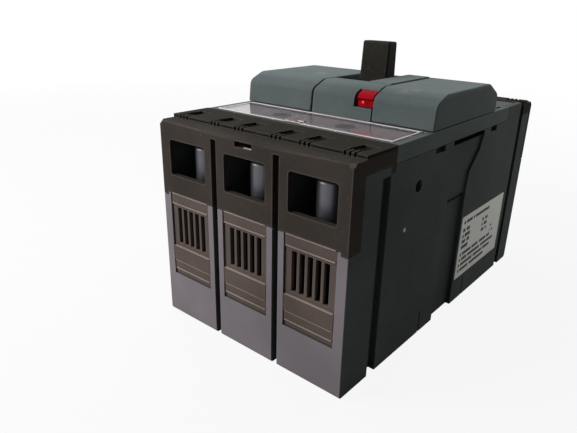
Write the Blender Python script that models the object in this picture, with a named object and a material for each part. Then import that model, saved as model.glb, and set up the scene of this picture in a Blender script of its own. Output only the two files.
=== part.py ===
import math

import bmesh
import bpy
from mathutils import Matrix, Vector

# Whole breaker, in metres: X across the poles, Y from the load end to the line end, Z up
POLES = 3
POLE_PITCH = 0.035
BODY_LENGTH = 0.180
BASE_HEIGHT = 0.0916
COVER_THICKNESS = 0.0074
SEAT_GAP = 0.0003

# Base housing
POLE_WALL = 0.0092
FLOOR = 0.003
END_FRAME = 0.003
SILL_HEIGHT = 0.0221
ARM_DROP = 0.0014
PHASE_SLOT_WIDTH = 0.0032
PHASE_SLOT_DEPTH = 0.014
PHASE_SLOT_DROP = 0.0049
FOOT_RADIUS = 0.0015
MOUNT_HOLE_INSET = 0.019
MOUNT_HOLE_DIAMETER = 0.0046
MOUNT_BORE_DIAMETER = 0.0064
MOUNT_BORE_FLOOR = 0.020

# Grooves, recesses and pockets in the side walls
LOAD_GROOVE_INSET = 0.023
LOAD_GROOVE_WIDTH = 0.006
LOAD_GROOVE_DROP = 0.0036
LINE_GROOVE_INSET = 0.015
LINE_GROOVE_WIDTH = 0.005
GROOVE_DEPTH = 0.003
CHANNEL_WIDTH = 0.021
CHANNEL_DROP = 0.0286
CHANNEL_DEPTH = 0.0022
RECESS_WIDTH = 0.0345
RECESS_STEP_WIDTH = 0.0112
RECESS_STEP_HEIGHT = 0.010
RECESS_SHOULDER_HEIGHT = 0.020
RECESS_DEPTH = 0.0012
SPLIT_LAND = 0.0019
SNAP_POCKET_DEPTH = 0.0022
SNAP_POCKET_HEIGHT = 0.0026
SNAP_POCKET_FRONT_Y = -0.0234
SNAP_POCKET_FRONT_WIDTH = 0.0094
SNAP_POCKET_BACK_Y = 0.0359
SNAP_POCKET_BACK_WIDTH = 0.0076
SIDE_HOLE_SHARE = 0.449
SIDE_HOLE_DROP = 0.0134
SIDE_HOLE_DIAMETER = 0.0055
FOOT_SLOT_Y = 0.0245
FOOT_SLOT_WIDTH = 0.001
FOOT_SLOT_HEIGHT = 0.0115
SIDE_RAISE_INSET = 0.0175
SIDE_RAISE_LENGTH = 0.0185
SIDE_RAISE_THICKNESS = 0.0028

# Main cover: deck, accessory bays and openings
COVER_END_INSET = 0.022
COVER_STEP = 0.0040
BAY_FLOOR = 0.0016
BAY_RIM = 0.0035
BAY_CENTRE_RIM = 0.003
POCKET_ROOF = 0.0025
KEY_SLOT_BACK = 0.0212
KEY_SLOT_INSET = 0.0035
KEY_SLOT_LENGTH = 0.005
KEY_SLOT_WIDTH = 0.0018

# Raised nose across the deck
NOSE_FRONT_SHARE = 0.3644
NOSE_BACK_SHARE = 0.3778
NOSE_RISE = 0.0147
NOSE_FRONT_FOLD = 0.011
NOSE_BACK_FOLD = 0.0089
NOSE_FRONT_RUN = 0.010
NOSE_BACK_RUN = 0.0114
NOSE_FRONT_LEAN = 0.0011
NOSE_WALL = 0.002
NOSE_SIDE_WALL = 0.001
NOSE_FOLD_RADIUS = 0.0036
NOSE_TOP_RADIUS = 0.007
CENTRE_LEFT = -0.0106
CENTRE_RIGHT = 0.0219
LEFT_GROOVE = 0.001
RIGHT_GROOVE = 0.0006
SLOT_RIGHT = 0.0105
SLOT_FRONT = -0.015
SLOT_BACK = 0.0252
SLOT_LIP = 0.0107
PANEL_FRONT_RIM = 0.0058
PANEL_BACK_RIM = 0.0026
PANEL_RISE = 0.0005
DECK_SLOT_FRONT_RIM = 0.0062
DECK_SLOT_BACK_RIM = 0.005
DECK_SLOT_RIGHT = 0.0098

# Clear lid and trip unit panel
LID_HALF_WIDTH = 0.0486
LID_FRONT_RIM = 0.0022
LID_BACK_RIM = 0.0022
LID_THICKNESS = 0.0016
LID_PROUD = 0.0002
LID_BED_CLEARANCE = 0.0004
LID_PIN_RADIUS = 0.0005
LID_PIN_LENGTH = 0.0014
LID_TAB_X = -0.0015
LID_TAB_WIDTH = 0.0086
LID_TAB_LENGTH = 0.005
LID_TAB_RISE = 0.0004
TRIP_PANEL_HALF_WIDTH = 0.0457
TRIP_PANEL_FRONT_RIM = 0.0018
TRIP_PANEL_BACK_RIM = 0.0023
TRIP_PANEL_THICKNESS = 0.0029
TRIP_PANEL_LEDGE = 0.0018
DIAL_SPACING = 0.036
DIAL_OFFSET = 0.001
DIAL_RIM_SHARE = 0.1546
DIAL_THICKNESS = 0.0009
DIAL_WELL = 0.0011
DIAL_STEM_RADIUS = 0.0015
DIAL_SLOT_WIDTH = 0.001
DIAL_SLOT_SHARE = 0.7

# Terminal covers
LOAD_COVER_DEPTH = 0.029
LINE_COVER_DEPTH = 0.0195
TERMINAL_COVER_RISE = 0.0002
TERMINAL_COVER_PLATE = 0.0026
TERMINAL_COVER_WALL = 0.0027
TERMINAL_COVER_SKIRT = 0.0029
TERMINAL_COVER_REACH = 0.0272
COVER_LIP_DROP = 0.0016
COVER_LIP_LENGTH = 0.008
COVER_RETURN_LENGTH = 0.008
COVER_RETURN_DROP = 0.0099
COVER_EAR_LENGTH = 0.003
COVER_EAR_DROP = 0.0030
WINDOW_WIDTH = 0.0232
WINDOW_SILL = 0.0087
WINDOW_DROP = 0.0097
WINDOW_SHIFT = 0.0003
WINDOW_RADIUS = 0.0012
LATCH_WIDTH = 0.0096
LATCH_HEIGHT = 0.0023
LATCH_DROP = 0.0033
COMB_OFFSET = 0.0103
COMB_LENGTH = 0.004
COMB_PITCH = 0.0022
COMB_TOOTH = 0.0011
COMB_DEPTH = 0.0010
TROUGH_WIDTH = 0.0066
TROUGH_LENGTH = 0.0085
TROUGH_SLANT = 0.0012
DECK_LINE_BACK = 0.0017
DECK_LINE_WIDTH = 0.0007
DECK_LINE_LENGTH = 0.0202
DECK_LINE_X = -0.0042

# Vent grilles in the end openings
GRILLE_THICKNESS = 0.0027
GRILLE_SLOTS = 5
GRILLE_SLOT_WIDTH = 0.0025
GRILLE_SLOT_PITCH = 0.004
GRILLE_SLOT_SILL = 0.0021
GRILLE_SLOT_HEAD = 0.0018
GRILLE_LEDGE_RISE = 0.0151
GRILLE_HEAD = 0.0051
GRILLE_INSET = 0.0009
GRILLE_FOOT_RISE = 0.0074
GRILLE_FOOT_INSET = 0.0004
GRILLE_LIP_RISE = 0.0030

# Terminals, conductors and clamp screws
TERMINAL_PAD_DROP = 0.0261
BAR_THICKNESS = 0.003
BAR_WIDTH = 0.011
PAD_WIDTH = 0.018
PAD_INSET = 0.004
PAD_LENGTH = 0.022
BAR_DROP_SHARE = 0.6444
SHELF_THICKNESS = 0.005
SHELF_INSET = 0.006
SHELF_SHARE = 0.2222
SCREW_INSET = 0.0123
SCREW_SHANK_RADIUS = 0.003
SCREW_HEAD_RADIUS = 0.0056
SCREW_DROP = 0.0051
SCREW_SHANK_LENGTH = 0.009
SCREW_EDGE_RADIUS = 0.0016
SCREW_SOCKET_RADIUS = 0.0026
SCREW_SOCKET_DEPTH = 0.004
SCREW_CLEARANCE = 0.0004

# Crossbar and moving contacts
CROSSBAR_DROP = 0.0496
CROSSBAR_SHAFT_RADIUS = 0.004
CROSSBAR_END_SEAT = 0.0009
DRUM_RADIUS = 0.013
DRUM_WIDTH = 0.015
BLADE_REACH = 0.024
BLADE_HEIGHT = 0.005
BLADE_THICKNESS = 0.004
TIP_LENGTH = 0.005
TIP_RISE = 0.0012
CLOSED_LEAN = math.radians(20)
CROSSBAR_RATIO = 1.2
RUNNING_CLEARANCE = 0.0004
CONTACT_POST_START = 0.018
CONTACT_POST_END = 0.0245

# Arc chutes and overload release
CHUTE_START_SHARE = 0.3333
CHUTE_BACK_GAP = 0.006
CHUTE_BOTTOM = 0.012
CHUTE_PLATES = 8
CHUTE_PLATE = 0.0018
CHUTE_HEAD_ROOM = 0.0046
CHUTE_SPINE = 0.002
CHUTE_NOTCH_WIDTH = 0.010
CHUTE_NOTCH_SHARE = 0.41
BIMETAL_WIDTH = 0.008
BIMETAL_THICKNESS = 0.0012
BIMETAL_BOTTOM = 0.020
BIMETAL_DROP = 0.0116
BIMETAL_FOOT = 0.006
BIMETAL_STANDOFF = 0.0008
TRIP_BAR_STANDOFF = 0.011
TRIP_BAR_DROP = 0.0076
TRIP_BAR_RADIUS = 0.0025
TRIP_BAR_END_SEAT = 0.0018
TRIP_FINGER_WIDTH = 0.004
TRIP_FINGER_LENGTH = 0.0069
TRIP_FINGER_DROP = 0.007
TRIP_FINGER_THICKNESS = 0.003
TRIP_ARM_THICKNESS = 0.0022

# Trip button
BUTTON_LEFT = 0.0127
BUTTON_INSET = 0.0012
BUTTON_BOTTOM = 0.0059
BUTTON_DEPTH = 0.0058
BUTTON_WALL_LIP = 0.0009
BUTTON_CLEARANCE = 0.0003
BUTTON_TRAVEL = 0.002
BUTTON_STEM_LEFT = 0.0085
BUTTON_STEM_WIDTH = 0.003
BUTTON_STEM_SETBACK = 0.0031
BUTTON_STEM_DEPTH = 0.0013
BUTTON_STEM_DROP = 0.0021
BUTTON_WEB_HEIGHT = 0.0026
BUTTON_SPRING_RADIUS = 0.0013
BUTTON_SPRING_WIRE = 0.0004
BUTTON_SPRING_TURNS = 4
BUTTON_SPRING_SETBACK = 0.0045

# Toggle, its pivot and the mechanism frame
PIVOT_Y = 0.005
PIVOT_DROP = 0.037
TOGGLE_LEAN = math.radians(1.6)
TOGGLE_ON_SWING = math.radians(14)
TOGGLE_HALF_WIDTH = 0.0078
TOGGLE_ROOT = 0.0484
TOGGLE_TOP = 0.0686
TOGGLE_ROOT_HALF = 0.0046
TOGGLE_TOP_HALF = 0.0036
TOGGLE_EDGE = 0.0008
SHROUD_RADIUS = 0.048
SHROUD_THICKNESS = 0.0012
SHROUD_HALF_WIDTH = 0.0092
SHROUD_FRONT_ANGLE = math.radians(22.5)
SHROUD_BACK_ANGLE = math.radians(16.5)
NECK_HALF_WIDTH = 0.005
NECK_HALF_DEPTH = 0.003
NECK_BOTTOM = 0.0418
YOKE_LEG = 0.0016
YOKE_HALF_WIDTH = 0.0078
YOKE_HALF_DEPTH = 0.003
YOKE_EYE_RADIUS = 0.0045
YOKE_WEB = 0.0016
TONGUE_HALF_WIDTH = 0.0035
TONGUE_HALF_DEPTH = 0.0008
TONGUE_LENGTH = 0.013
PIVOT_PIN_RADIUS = 0.002
FRAME_PLATE = 0.0016
FRAME_INNER_HALF = 0.0086
FRAME_FRONT = -0.020
FRAME_BACK = 0.026
FRAME_DROP = 0.0076
FRAME_SHOULDER = 0.014
FRAME_SHOULDER_RUN = 0.010
FRAME_FOOT_WIDTH = 0.0024
FRAME_BRIDGE_HEIGHT = 0.014
FRAME_BRIDGE_DROP = 0.012
MAIN_SPRING_X = 0.0031
MAIN_SPRING_RADIUS = 0.0021
MAIN_SPRING_WIRE = 0.0007
MAIN_SPRING_TURNS = 7
MAIN_SPRING_HOOK = 0.005

# Values that follow from those above
HALF_WIDTH = POLES * POLE_PITCH / 2
HALF_LENGTH = BODY_LENGTH / 2
CHAMBER_HALF = (POLE_PITCH - POLE_WALL) / 2
POLE_CENTRES = [(index - (POLES - 1) / 2) * POLE_PITCH for index in range(POLES)]
WALL_CENTRES = [(low + high) / 2 for low, high in zip(POLE_CENTRES, POLE_CENTRES[1:])]
CHAMBER_EDGE = POLE_CENTRES[-1] + CHAMBER_HALF
COVER_BOTTOM = BASE_HEIGHT + SEAT_GAP
DECK_HEIGHT = BASE_HEIGHT + COVER_THICKNESS
NOSE_TOP = DECK_HEIGHT + NOSE_RISE
LID_TOP = DECK_HEIGHT + LID_PROUD
LID_AXIS_Z = LID_TOP - LID_THICKNESS / 2
LID_BED = LID_TOP - LID_THICKNESS - LID_BED_CLEARANCE
PIVOT_Z = DECK_HEIGHT - PIVOT_DROP
TERMINAL_COVER_TOP = DECK_HEIGHT + TERMINAL_COVER_RISE
TERMINAL_COVER_BOTTOM = BASE_HEIGHT - TERMINAL_COVER_REACH
ARM_TOP = TERMINAL_COVER_BOTTOM - ARM_DROP
PHASE_SLOT_TOP = TERMINAL_COVER_TOP - PHASE_SLOT_DROP
COVER_RETURN_BOTTOM = TERMINAL_COVER_BOTTOM - COVER_RETURN_DROP
COVER_EAR_BOTTOM = BASE_HEIGHT - COVER_EAR_DROP
WINDOW_BOTTOM = TERMINAL_COVER_BOTTOM + WINDOW_SILL
WINDOW_TOP = TERMINAL_COVER_TOP - WINDOW_DROP
LATCH_TOP = TERMINAL_COVER_TOP - LATCH_DROP
LATCH_BOTTOM = LATCH_TOP - LATCH_HEIGHT
GRILLE_TOP = TERMINAL_COVER_BOTTOM - SEAT_GAP
GRILLE_UPPER_LEDGE = GRILLE_TOP - GRILLE_HEAD
GRILLE_FOOT_STEP = SILL_HEIGHT + GRILLE_FOOT_RISE
GRILLE_LIP = SILL_HEIGHT + GRILLE_LIP_RISE
GRILLE_LEDGE = SILL_HEIGHT + GRILLE_LEDGE_RISE
GRILLE_SLOT_BOTTOM = GRILLE_LEDGE + GRILLE_SLOT_SILL
GRILLE_SLOT_TOP = GRILLE_UPPER_LEDGE - GRILLE_SLOT_HEAD
LOAD_GROOVE_TOP = BASE_HEIGHT - LOAD_GROOVE_DROP
CHANNEL_TOP = BASE_HEIGHT - CHANNEL_DROP
SIDE_HOLE_Z = BASE_HEIGHT - SIDE_HOLE_DROP
TERMINAL_PAD_TOP = BASE_HEIGHT - TERMINAL_PAD_DROP
PAD_BOTTOM = TERMINAL_PAD_TOP - BAR_THICKNESS
SCREW_TOP = BASE_HEIGHT - SCREW_DROP
CROSSBAR_Z = BASE_HEIGHT - CROSSBAR_DROP
TRIP_BAR_Z = BASE_HEIGHT - TRIP_BAR_DROP
BIMETAL_TOP = BASE_HEIGHT - BIMETAL_DROP
BUTTON_STEM_BOTTOM = BASE_HEIGHT - BUTTON_STEM_DROP
FRAME_TOP = BASE_HEIGHT - FRAME_DROP
FRAME_BRIDGE_TOP = FRAME_TOP - FRAME_BRIDGE_DROP
FRAME_BRIDGE_BOTTOM = FRAME_BRIDGE_TOP - FRAME_BRIDGE_HEIGHT
CHUTE_STACK = PAD_BOTTOM - CHUTE_HEAD_ROOM - CHUTE_BOTTOM - CHUTE_PLATE
CHUTE_PLATE_PITCH = CHUTE_STACK / (CHUTE_PLATES - 1)
COVER_START = LOAD_COVER_DEPTH + SEAT_GAP - HALF_LENGTH
COVER_END = HALF_LENGTH - COVER_END_INSET
KEY_SLOT_Y = COVER_END - KEY_SLOT_BACK
NOSE_FRONT_Y = -HALF_LENGTH * NOSE_FRONT_SHARE
NOSE_BACK_Y = HALF_LENGTH * NOSE_BACK_SHARE
NOSE_TOP_FRONT = NOSE_FRONT_Y + NOSE_FRONT_RUN
NOSE_TOP_BACK = NOSE_BACK_Y - NOSE_BACK_RUN
PANEL_FRONT = NOSE_TOP_FRONT + PANEL_FRONT_RIM
PANEL_BACK = NOSE_TOP_BACK - PANEL_BACK_RIM
DECK_SLOT_FRONT = NOSE_FRONT_Y + DECK_SLOT_FRONT_RIM
DECK_SLOT_BACK = NOSE_BACK_Y - DECK_SLOT_BACK_RIM
LID_FRONT = COVER_START + LID_FRONT_RIM
LID_AXIS_Y = NOSE_FRONT_Y - LID_BACK_RIM
TRIP_PANEL_FRONT = LID_FRONT + TRIP_PANEL_FRONT_RIM
TRIP_PANEL_BACK = LID_AXIS_Y - TRIP_PANEL_BACK_RIM
DIAL_RADIUS = DIAL_STEM_RADIUS + (TRIP_PANEL_BACK - TRIP_PANEL_FRONT) * DIAL_RIM_SHARE
DIAL_Y = (TRIP_PANEL_BACK + TRIP_PANEL_FRONT) / 2 + DIAL_OFFSET
BUTTON_BACK_Y = NOSE_FRONT_Y + BUTTON_DEPTH
BUTTON_STEM_FRONT = NOSE_FRONT_Y + BUTTON_STEM_SETBACK
BUTTON_STEM_BACK = BUTTON_STEM_FRONT + BUTTON_STEM_DEPTH
BUTTON_SPRING_Y = NOSE_FRONT_Y + BUTTON_SPRING_SETBACK
DECK_LINE_Y = COVER_START - SEAT_GAP - DECK_LINE_BACK
MOUNT_HOLE_Y = HALF_LENGTH - MOUNT_HOLE_INSET
LOAD_GROOVE_Y = LOAD_GROOVE_INSET - HALF_LENGTH
LINE_GROOVE_Y = HALF_LENGTH - LINE_GROOVE_INSET
SIDE_HOLE_Y = -HALF_LENGTH * SIDE_HOLE_SHARE
SIDE_RAISE_END = HALF_LENGTH - SIDE_RAISE_INSET
SIDE_RAISE_START = SIDE_RAISE_END - SIDE_RAISE_LENGTH
BAR_DROP_Y = HALF_LENGTH * BAR_DROP_SHARE
SHELF_END = HALF_LENGTH - SHELF_INSET
SHELF_START = SHELF_END - HALF_LENGTH * SHELF_SHARE
SCREW_Y = HALF_LENGTH - SCREW_INSET
CHUTE_START = HALF_LENGTH * CHUTE_START_SHARE
CHUTE_END = BAR_DROP_Y - CHUTE_BACK_GAP
CHUTE_NOTCH_DEPTH = (CHUTE_END - CHUTE_START) * CHUTE_NOTCH_SHARE
TRIP_BAR_Y = TRIP_BAR_STANDOFF - BAR_DROP_Y
REST_LEAN = CLOSED_LEAN - CROSSBAR_RATIO * TOGGLE_ON_SWING
LOAD = -1
LINE = 1
OVER = 0.001


def clear_scene():
    for item in list(bpy.data.objects):
        bpy.data.objects.remove(item, do_unlink=True)


def make_finish(name, colour, roughness, metallic=0.0, transmission=0.0):
    finish = bpy.data.materials.new(name)
    finish.use_nodes = True
    shader = finish.node_tree.nodes["Principled BSDF"]
    shader.inputs["Base Color"].default_value = (*colour, 1.0)
    shader.inputs["Roughness"].default_value = roughness
    shader.inputs["Metallic"].default_value = metallic
    shader.inputs["Transmission Weight"].default_value = transmission
    finish.diffuse_color = (*colour, 1.0)
    return finish


# Outlines: lists of two-number points, running round the shape

def rectangle(left, right, bottom, top):
    return [(left, bottom), (right, bottom), (right, top), (left, top)]


def arc(centre, radius, start, end, steps):
    angles = [start + (end - start) * step / steps for step in range(steps + 1)]
    return [(centre[0] + radius * math.cos(a), centre[1] + radius * math.sin(a)) for a in angles]


def rounded(points, radii, steps=3):
    # each corner with a radius becomes an arc that touches both of its sides
    if not isinstance(radii, (list, tuple)):
        radii = [radii] * len(points)
    outline = []
    for index, (corner, radius) in enumerate(zip(points, radii)):
        here = Vector(corner)
        before = (Vector(points[index - 1]) - here).normalized()
        after = (Vector(points[(index + 1) % len(points)]) - here).normalized()
        if radius <= 0:
            outline.append(tuple(here))
            continue
        half_angle = before.angle(after) / 2
        middle = here + (before + after).normalized() * radius / math.sin(half_angle)
        start = here + before * radius / math.tan(half_angle) - middle
        end = here + after * radius / math.tan(half_angle) - middle
        turn = math.atan2(start.x * end.y - start.y * end.x, start.dot(end))
        first = math.atan2(start.y, start.x)
        outline += arc(middle, radius, first, first + turn, steps)
    return outline


def inset(points, distance):
    # the outline moved inwards by one distance on every side; the points run anticlockwise
    moved = []
    for index, corner in enumerate(points):
        here = Vector(corner)
        arriving = (here - Vector(points[index - 1])).normalized()
        leaving = (Vector(points[(index + 1) % len(points)]) - here).normalized()
        normal_in = Vector((-arriving.y, arriving.x))
        normal_out = Vector((-leaving.y, leaving.x))
        bisector = (normal_in + normal_out).normalized()
        moved.append(tuple(here + bisector * distance / bisector.dot(normal_in)))
    return moved


def turned_point(along, across, lean):
    # a point given along and across a leaning line, as distances in Y and Z
    y = along * math.cos(lean) - across * math.sin(lean)
    z = along * math.sin(lean) + across * math.cos(lean)
    return (y, z)


# Solids, each a closed bmesh

def spread(axis, along, point):
    if axis == "X":
        return Vector((along, point[0], point[1]))
    if axis == "Y":
        return Vector((point[0], along, point[1]))
    return Vector((point[0], point[1], along))


def prism(points, axis, low, high):
    shape = bmesh.new()
    face = shape.faces.new([shape.verts.new(spread(axis, low, point)) for point in points])
    grown = bmesh.ops.extrude_face_region(shape, geom=[face])
    moving = [item for item in grown["geom"] if isinstance(item, bmesh.types.BMVert)]
    bmesh.ops.translate(shape, verts=moving, vec=spread(axis, high - low, (0, 0)))
    return shape


def block(x_range, y_range, z_range):
    return prism(rectangle(*x_range, *y_range), "Z", *z_range)


def round_bar(centre, radius, axis, low, high, sides=20):
    ring = arc(centre, radius, 0, 2 * math.pi, sides)[:-1]
    return prism(ring, axis, low, high)


def turning(profile, centre, axis, sides=20):
    # a solid turned about a line along the axis; the profile gives radius and place, end to end
    shape = bmesh.new()
    rings = []
    for radius, along in profile:
        if radius == 0:
            rings.append([shape.verts.new(spread(axis, along, centre))])
            continue
        ring = arc(centre, radius, 0, 2 * math.pi, sides)[:-1]
        rings.append([shape.verts.new(spread(axis, along, point)) for point in ring])
    for lower, upper in zip(rings, rings[1:]):
        for side in range(sides):
            after = (side + 1) % sides
            corners = [lower[side % len(lower)], lower[after % len(lower)],
                       upper[after % len(upper)], upper[side % len(upper)]]
            shape.faces.new(list(dict.fromkeys(corners)))
    for ring in (rings[0], rings[-1]):
        if len(ring) > 1:
            shape.faces.new(ring)
    return shape


def coil(centre, radius, wire, turns, low, high, hook, sides=5, steps=10):
    # a helical spring standing along Z, with a straight shank of the hook's length at each end
    path = []
    total = turns * steps
    if hook > 0:
        path.append(Vector((centre[0], centre[1], low)))
        path.append(Vector((centre[0], centre[1], low + hook - wire)))
    for step in range(total + 1):
        angle = 2 * math.pi * step / steps
        height = low + hook + wire + (high - low - 2 * hook - 2 * wire) * step / total
        x = centre[0] + radius * math.cos(angle)
        y = centre[1] + radius * math.sin(angle)
        path.append(Vector((x, y, height)))
    if hook > 0:
        path.append(Vector((centre[0], centre[1], high - hook + wire)))
        path.append(Vector((centre[0], centre[1], high)))
    shape = bmesh.new()
    rings = []
    for index, here in enumerate(path):
        before = path[max(index - 1, 0)]
        after = path[min(index + 1, len(path) - 1)]
        forward = (after - before).normalized()
        guide = Vector((0, 1, 0)) if abs(forward.z) > 0.8 else Vector((0, 0, 1))
        across = forward.cross(guide).normalized()
        up = across.cross(forward).normalized()
        ring = []
        for side in range(sides):
            angle = 2 * math.pi * side / sides
            offset = across * math.cos(angle) + up * math.sin(angle)
            ring.append(shape.verts.new(here + offset * wire / 2))
        rings.append(ring)
    for lower, upper in zip(rings, rings[1:]):
        for side in range(sides):
            after = (side + 1) % sides
            shape.faces.new([lower[side], lower[after], upper[after], upper[side]])
    shape.faces.new(rings[0])
    shape.faces.new(rings[-1])
    return shape


def as_mesh(shape, name):
    bmesh.ops.recalc_face_normals(shape, faces=shape.faces)
    mesh = bpy.data.meshes.new(name)
    shape.to_mesh(mesh)
    shape.free()
    return mesh


# Objects

def combine(target, operation, shapes):
    # one Boolean modifier that adds or removes every solid of a hidden group
    group = bpy.data.collections.new(f"{target.name}_{operation.lower()}")
    bpy.context.scene.collection.children.link(group)
    for index, shape in enumerate(shapes):
        helper_name = f"{group.name}_{index}"
        helper = bpy.data.objects.new(helper_name, as_mesh(shape, helper_name))
        helper.hide_render = True
        helper.display_type = "WIRE"
        helper.parent = target.parent
        group.objects.link(helper)
    modifier = target.modifiers.new(operation.title(), "BOOLEAN")
    modifier.operation = operation
    modifier.operand_type = "COLLECTION"
    modifier.solver = "EXACT"
    modifier.collection = group


def make(name, shape, finish, steps=(), pivot=None, parent=None, smooth=False, bevel=0.0):
    mesh = as_mesh(shape, name)
    mesh.materials.append(finish)
    piece = bpy.data.objects.new(name, mesh)
    bpy.context.scene.collection.objects.link(piece)
    piece.parent = parent
    if bevel:
        edges = piece.modifiers.new("Edges", "BEVEL")
        edges.width = bevel
        edges.segments = 2
        edges.limit_method = "ANGLE"
    for operation, shapes in steps:
        combine(piece, operation, shapes)
    if pivot:
        mesh.transform(Matrix.Translation(-Vector(pivot)))
        piece.location = pivot
    if smooth:
        mesh.shade_smooth()
        mesh.set_sharp_from_angle(angle=math.radians(35))
    return piece


def axis_empty(name, place, lean):
    empty = bpy.data.objects.new(name, None)
    bpy.context.scene.collection.objects.link(empty)
    empty.location = place
    empty.rotation_euler = (-lean, 0, 0)
    return empty


# Base housing

def upright_notch(y, z, radius, reach):
    # a round-bottomed notch, open at the top, that a cross shaft drops into
    outline = arc((y, z), radius, math.pi, 2 * math.pi, 8)
    outline += [(y + radius, BASE_HEIGHT + OVER), (y - radius, BASE_HEIGHT + OVER)]
    return prism(outline, "X", -reach, reach)


def side_cuts(side):
    # everything sunk into one side wall: grooves, lifting channel, recess, pockets and hole
    outer = HALF_WIDTH + OVER

    def slab(y_range, z_range, depth):
        x_range = sorted((side * (HALF_WIDTH - depth), side * outer))
        return block(x_range, y_range, z_range)

    def around(centre, width):
        return (centre - width / 2, centre + width / 2)

    shapes = [slab(around(LOAD_GROOVE_Y, LOAD_GROOVE_WIDTH), (-OVER, LOAD_GROOVE_TOP), GROOVE_DEPTH),
              slab(around(LINE_GROOVE_Y, LINE_GROOVE_WIDTH), (-OVER, BASE_HEIGHT + OVER), GROOVE_DEPTH),
              slab(around(0, CHANNEL_WIDTH), (-OVER, CHANNEL_TOP), CHANNEL_DEPTH)]
    top = BASE_HEIGHT - SPLIT_LAND
    left = -CHANNEL_WIDTH / 2
    outline = [(left, CHANNEL_TOP - OVER),
               (-left, CHANNEL_TOP - OVER),
               (left + CHANNEL_WIDTH + RECESS_DEPTH, CHANNEL_TOP + RECESS_STEP_HEIGHT),
               (left + CHANNEL_WIDTH + RECESS_STEP_WIDTH, CHANNEL_TOP + RECESS_SHOULDER_HEIGHT),
               (left + RECESS_WIDTH, top),
               (left, top)]
    ends = sorted((side * (HALF_WIDTH - RECESS_DEPTH), side * outer))
    shapes.append(prism(outline, "X", *ends))
    long_slot = (left, left + RECESS_WIDTH)
    for y_range in (around(SNAP_POCKET_FRONT_Y, SNAP_POCKET_FRONT_WIDTH), long_slot,
                    around(SNAP_POCKET_BACK_Y, SNAP_POCKET_BACK_WIDTH)):
        z_range = (BASE_HEIGHT - SNAP_POCKET_HEIGHT, BASE_HEIGHT + OVER)
        shapes.append(slab(y_range, z_range, SNAP_POCKET_DEPTH))
    for end in (LOAD, LINE):
        y_range = around(end * FOOT_SLOT_Y, FOOT_SLOT_WIDTH)
        shapes.append(slab(y_range, (-OVER, FOOT_SLOT_HEIGHT), RECESS_DEPTH))
    hole_ends = sorted((side * (HALF_WIDTH - GROOVE_DEPTH), side * outer))
    shapes.append(round_bar((SIDE_HOLE_Y, SIDE_HOLE_Z), SIDE_HOLE_DIAMETER / 2, "X", *hole_ends, 16))
    # room for the load cover's side return and ear
    skirt = TERMINAL_COVER_SKIRT + SEAT_GAP
    return_end = -HALF_LENGTH + COVER_RETURN_LENGTH + SEAT_GAP
    shapes.append(slab((-HALF_LENGTH - OVER, return_end),
                       (COVER_RETURN_BOTTOM - SEAT_GAP, BASE_HEIGHT + OVER), skirt))
    ear_back = -HALF_LENGTH + LOAD_COVER_DEPTH + SEAT_GAP
    ear_front = ear_back - COVER_EAR_LENGTH - 2 * SEAT_GAP
    shapes.append(slab((ear_front, ear_back), (COVER_EAR_BOTTOM - SEAT_GAP, BASE_HEIGHT + OVER), skirt))
    return shapes


def end_cuts(end):
    # one end of the base: window frames, the set-back for the terminal cover and the phase slots
    inner = HALF_LENGTH - END_FRAME
    shapes = []
    for centre in POLE_CENTRES:
        y_range = sorted((end * (inner - OVER), end * (HALF_LENGTH + OVER)))
        x_range = (centre - CHAMBER_HALF, centre + CHAMBER_HALF)
        shapes.append(block(x_range, y_range, (SILL_HEIGHT, BASE_HEIGHT + OVER)))
    wall = HALF_LENGTH - TERMINAL_COVER_WALL - SEAT_GAP
    y_range = sorted((end * wall, end * (HALF_LENGTH + OVER)))
    x_range = (-HALF_WIDTH - OVER, HALF_WIDTH + OVER)
    shapes.append(block(x_range, y_range, (ARM_TOP, BASE_HEIGHT + OVER)))
    y_range = sorted((end * (HALF_LENGTH - PHASE_SLOT_DEPTH), end * (HALF_LENGTH + OVER)))
    for centre in WALL_CENTRES:
        x_range = (centre - PHASE_SLOT_WIDTH / 2, centre + PHASE_SLOT_WIDTH / 2)
        shapes.append(block(x_range, y_range, (-OVER, BASE_HEIGHT + OVER)))
    return shapes


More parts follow.
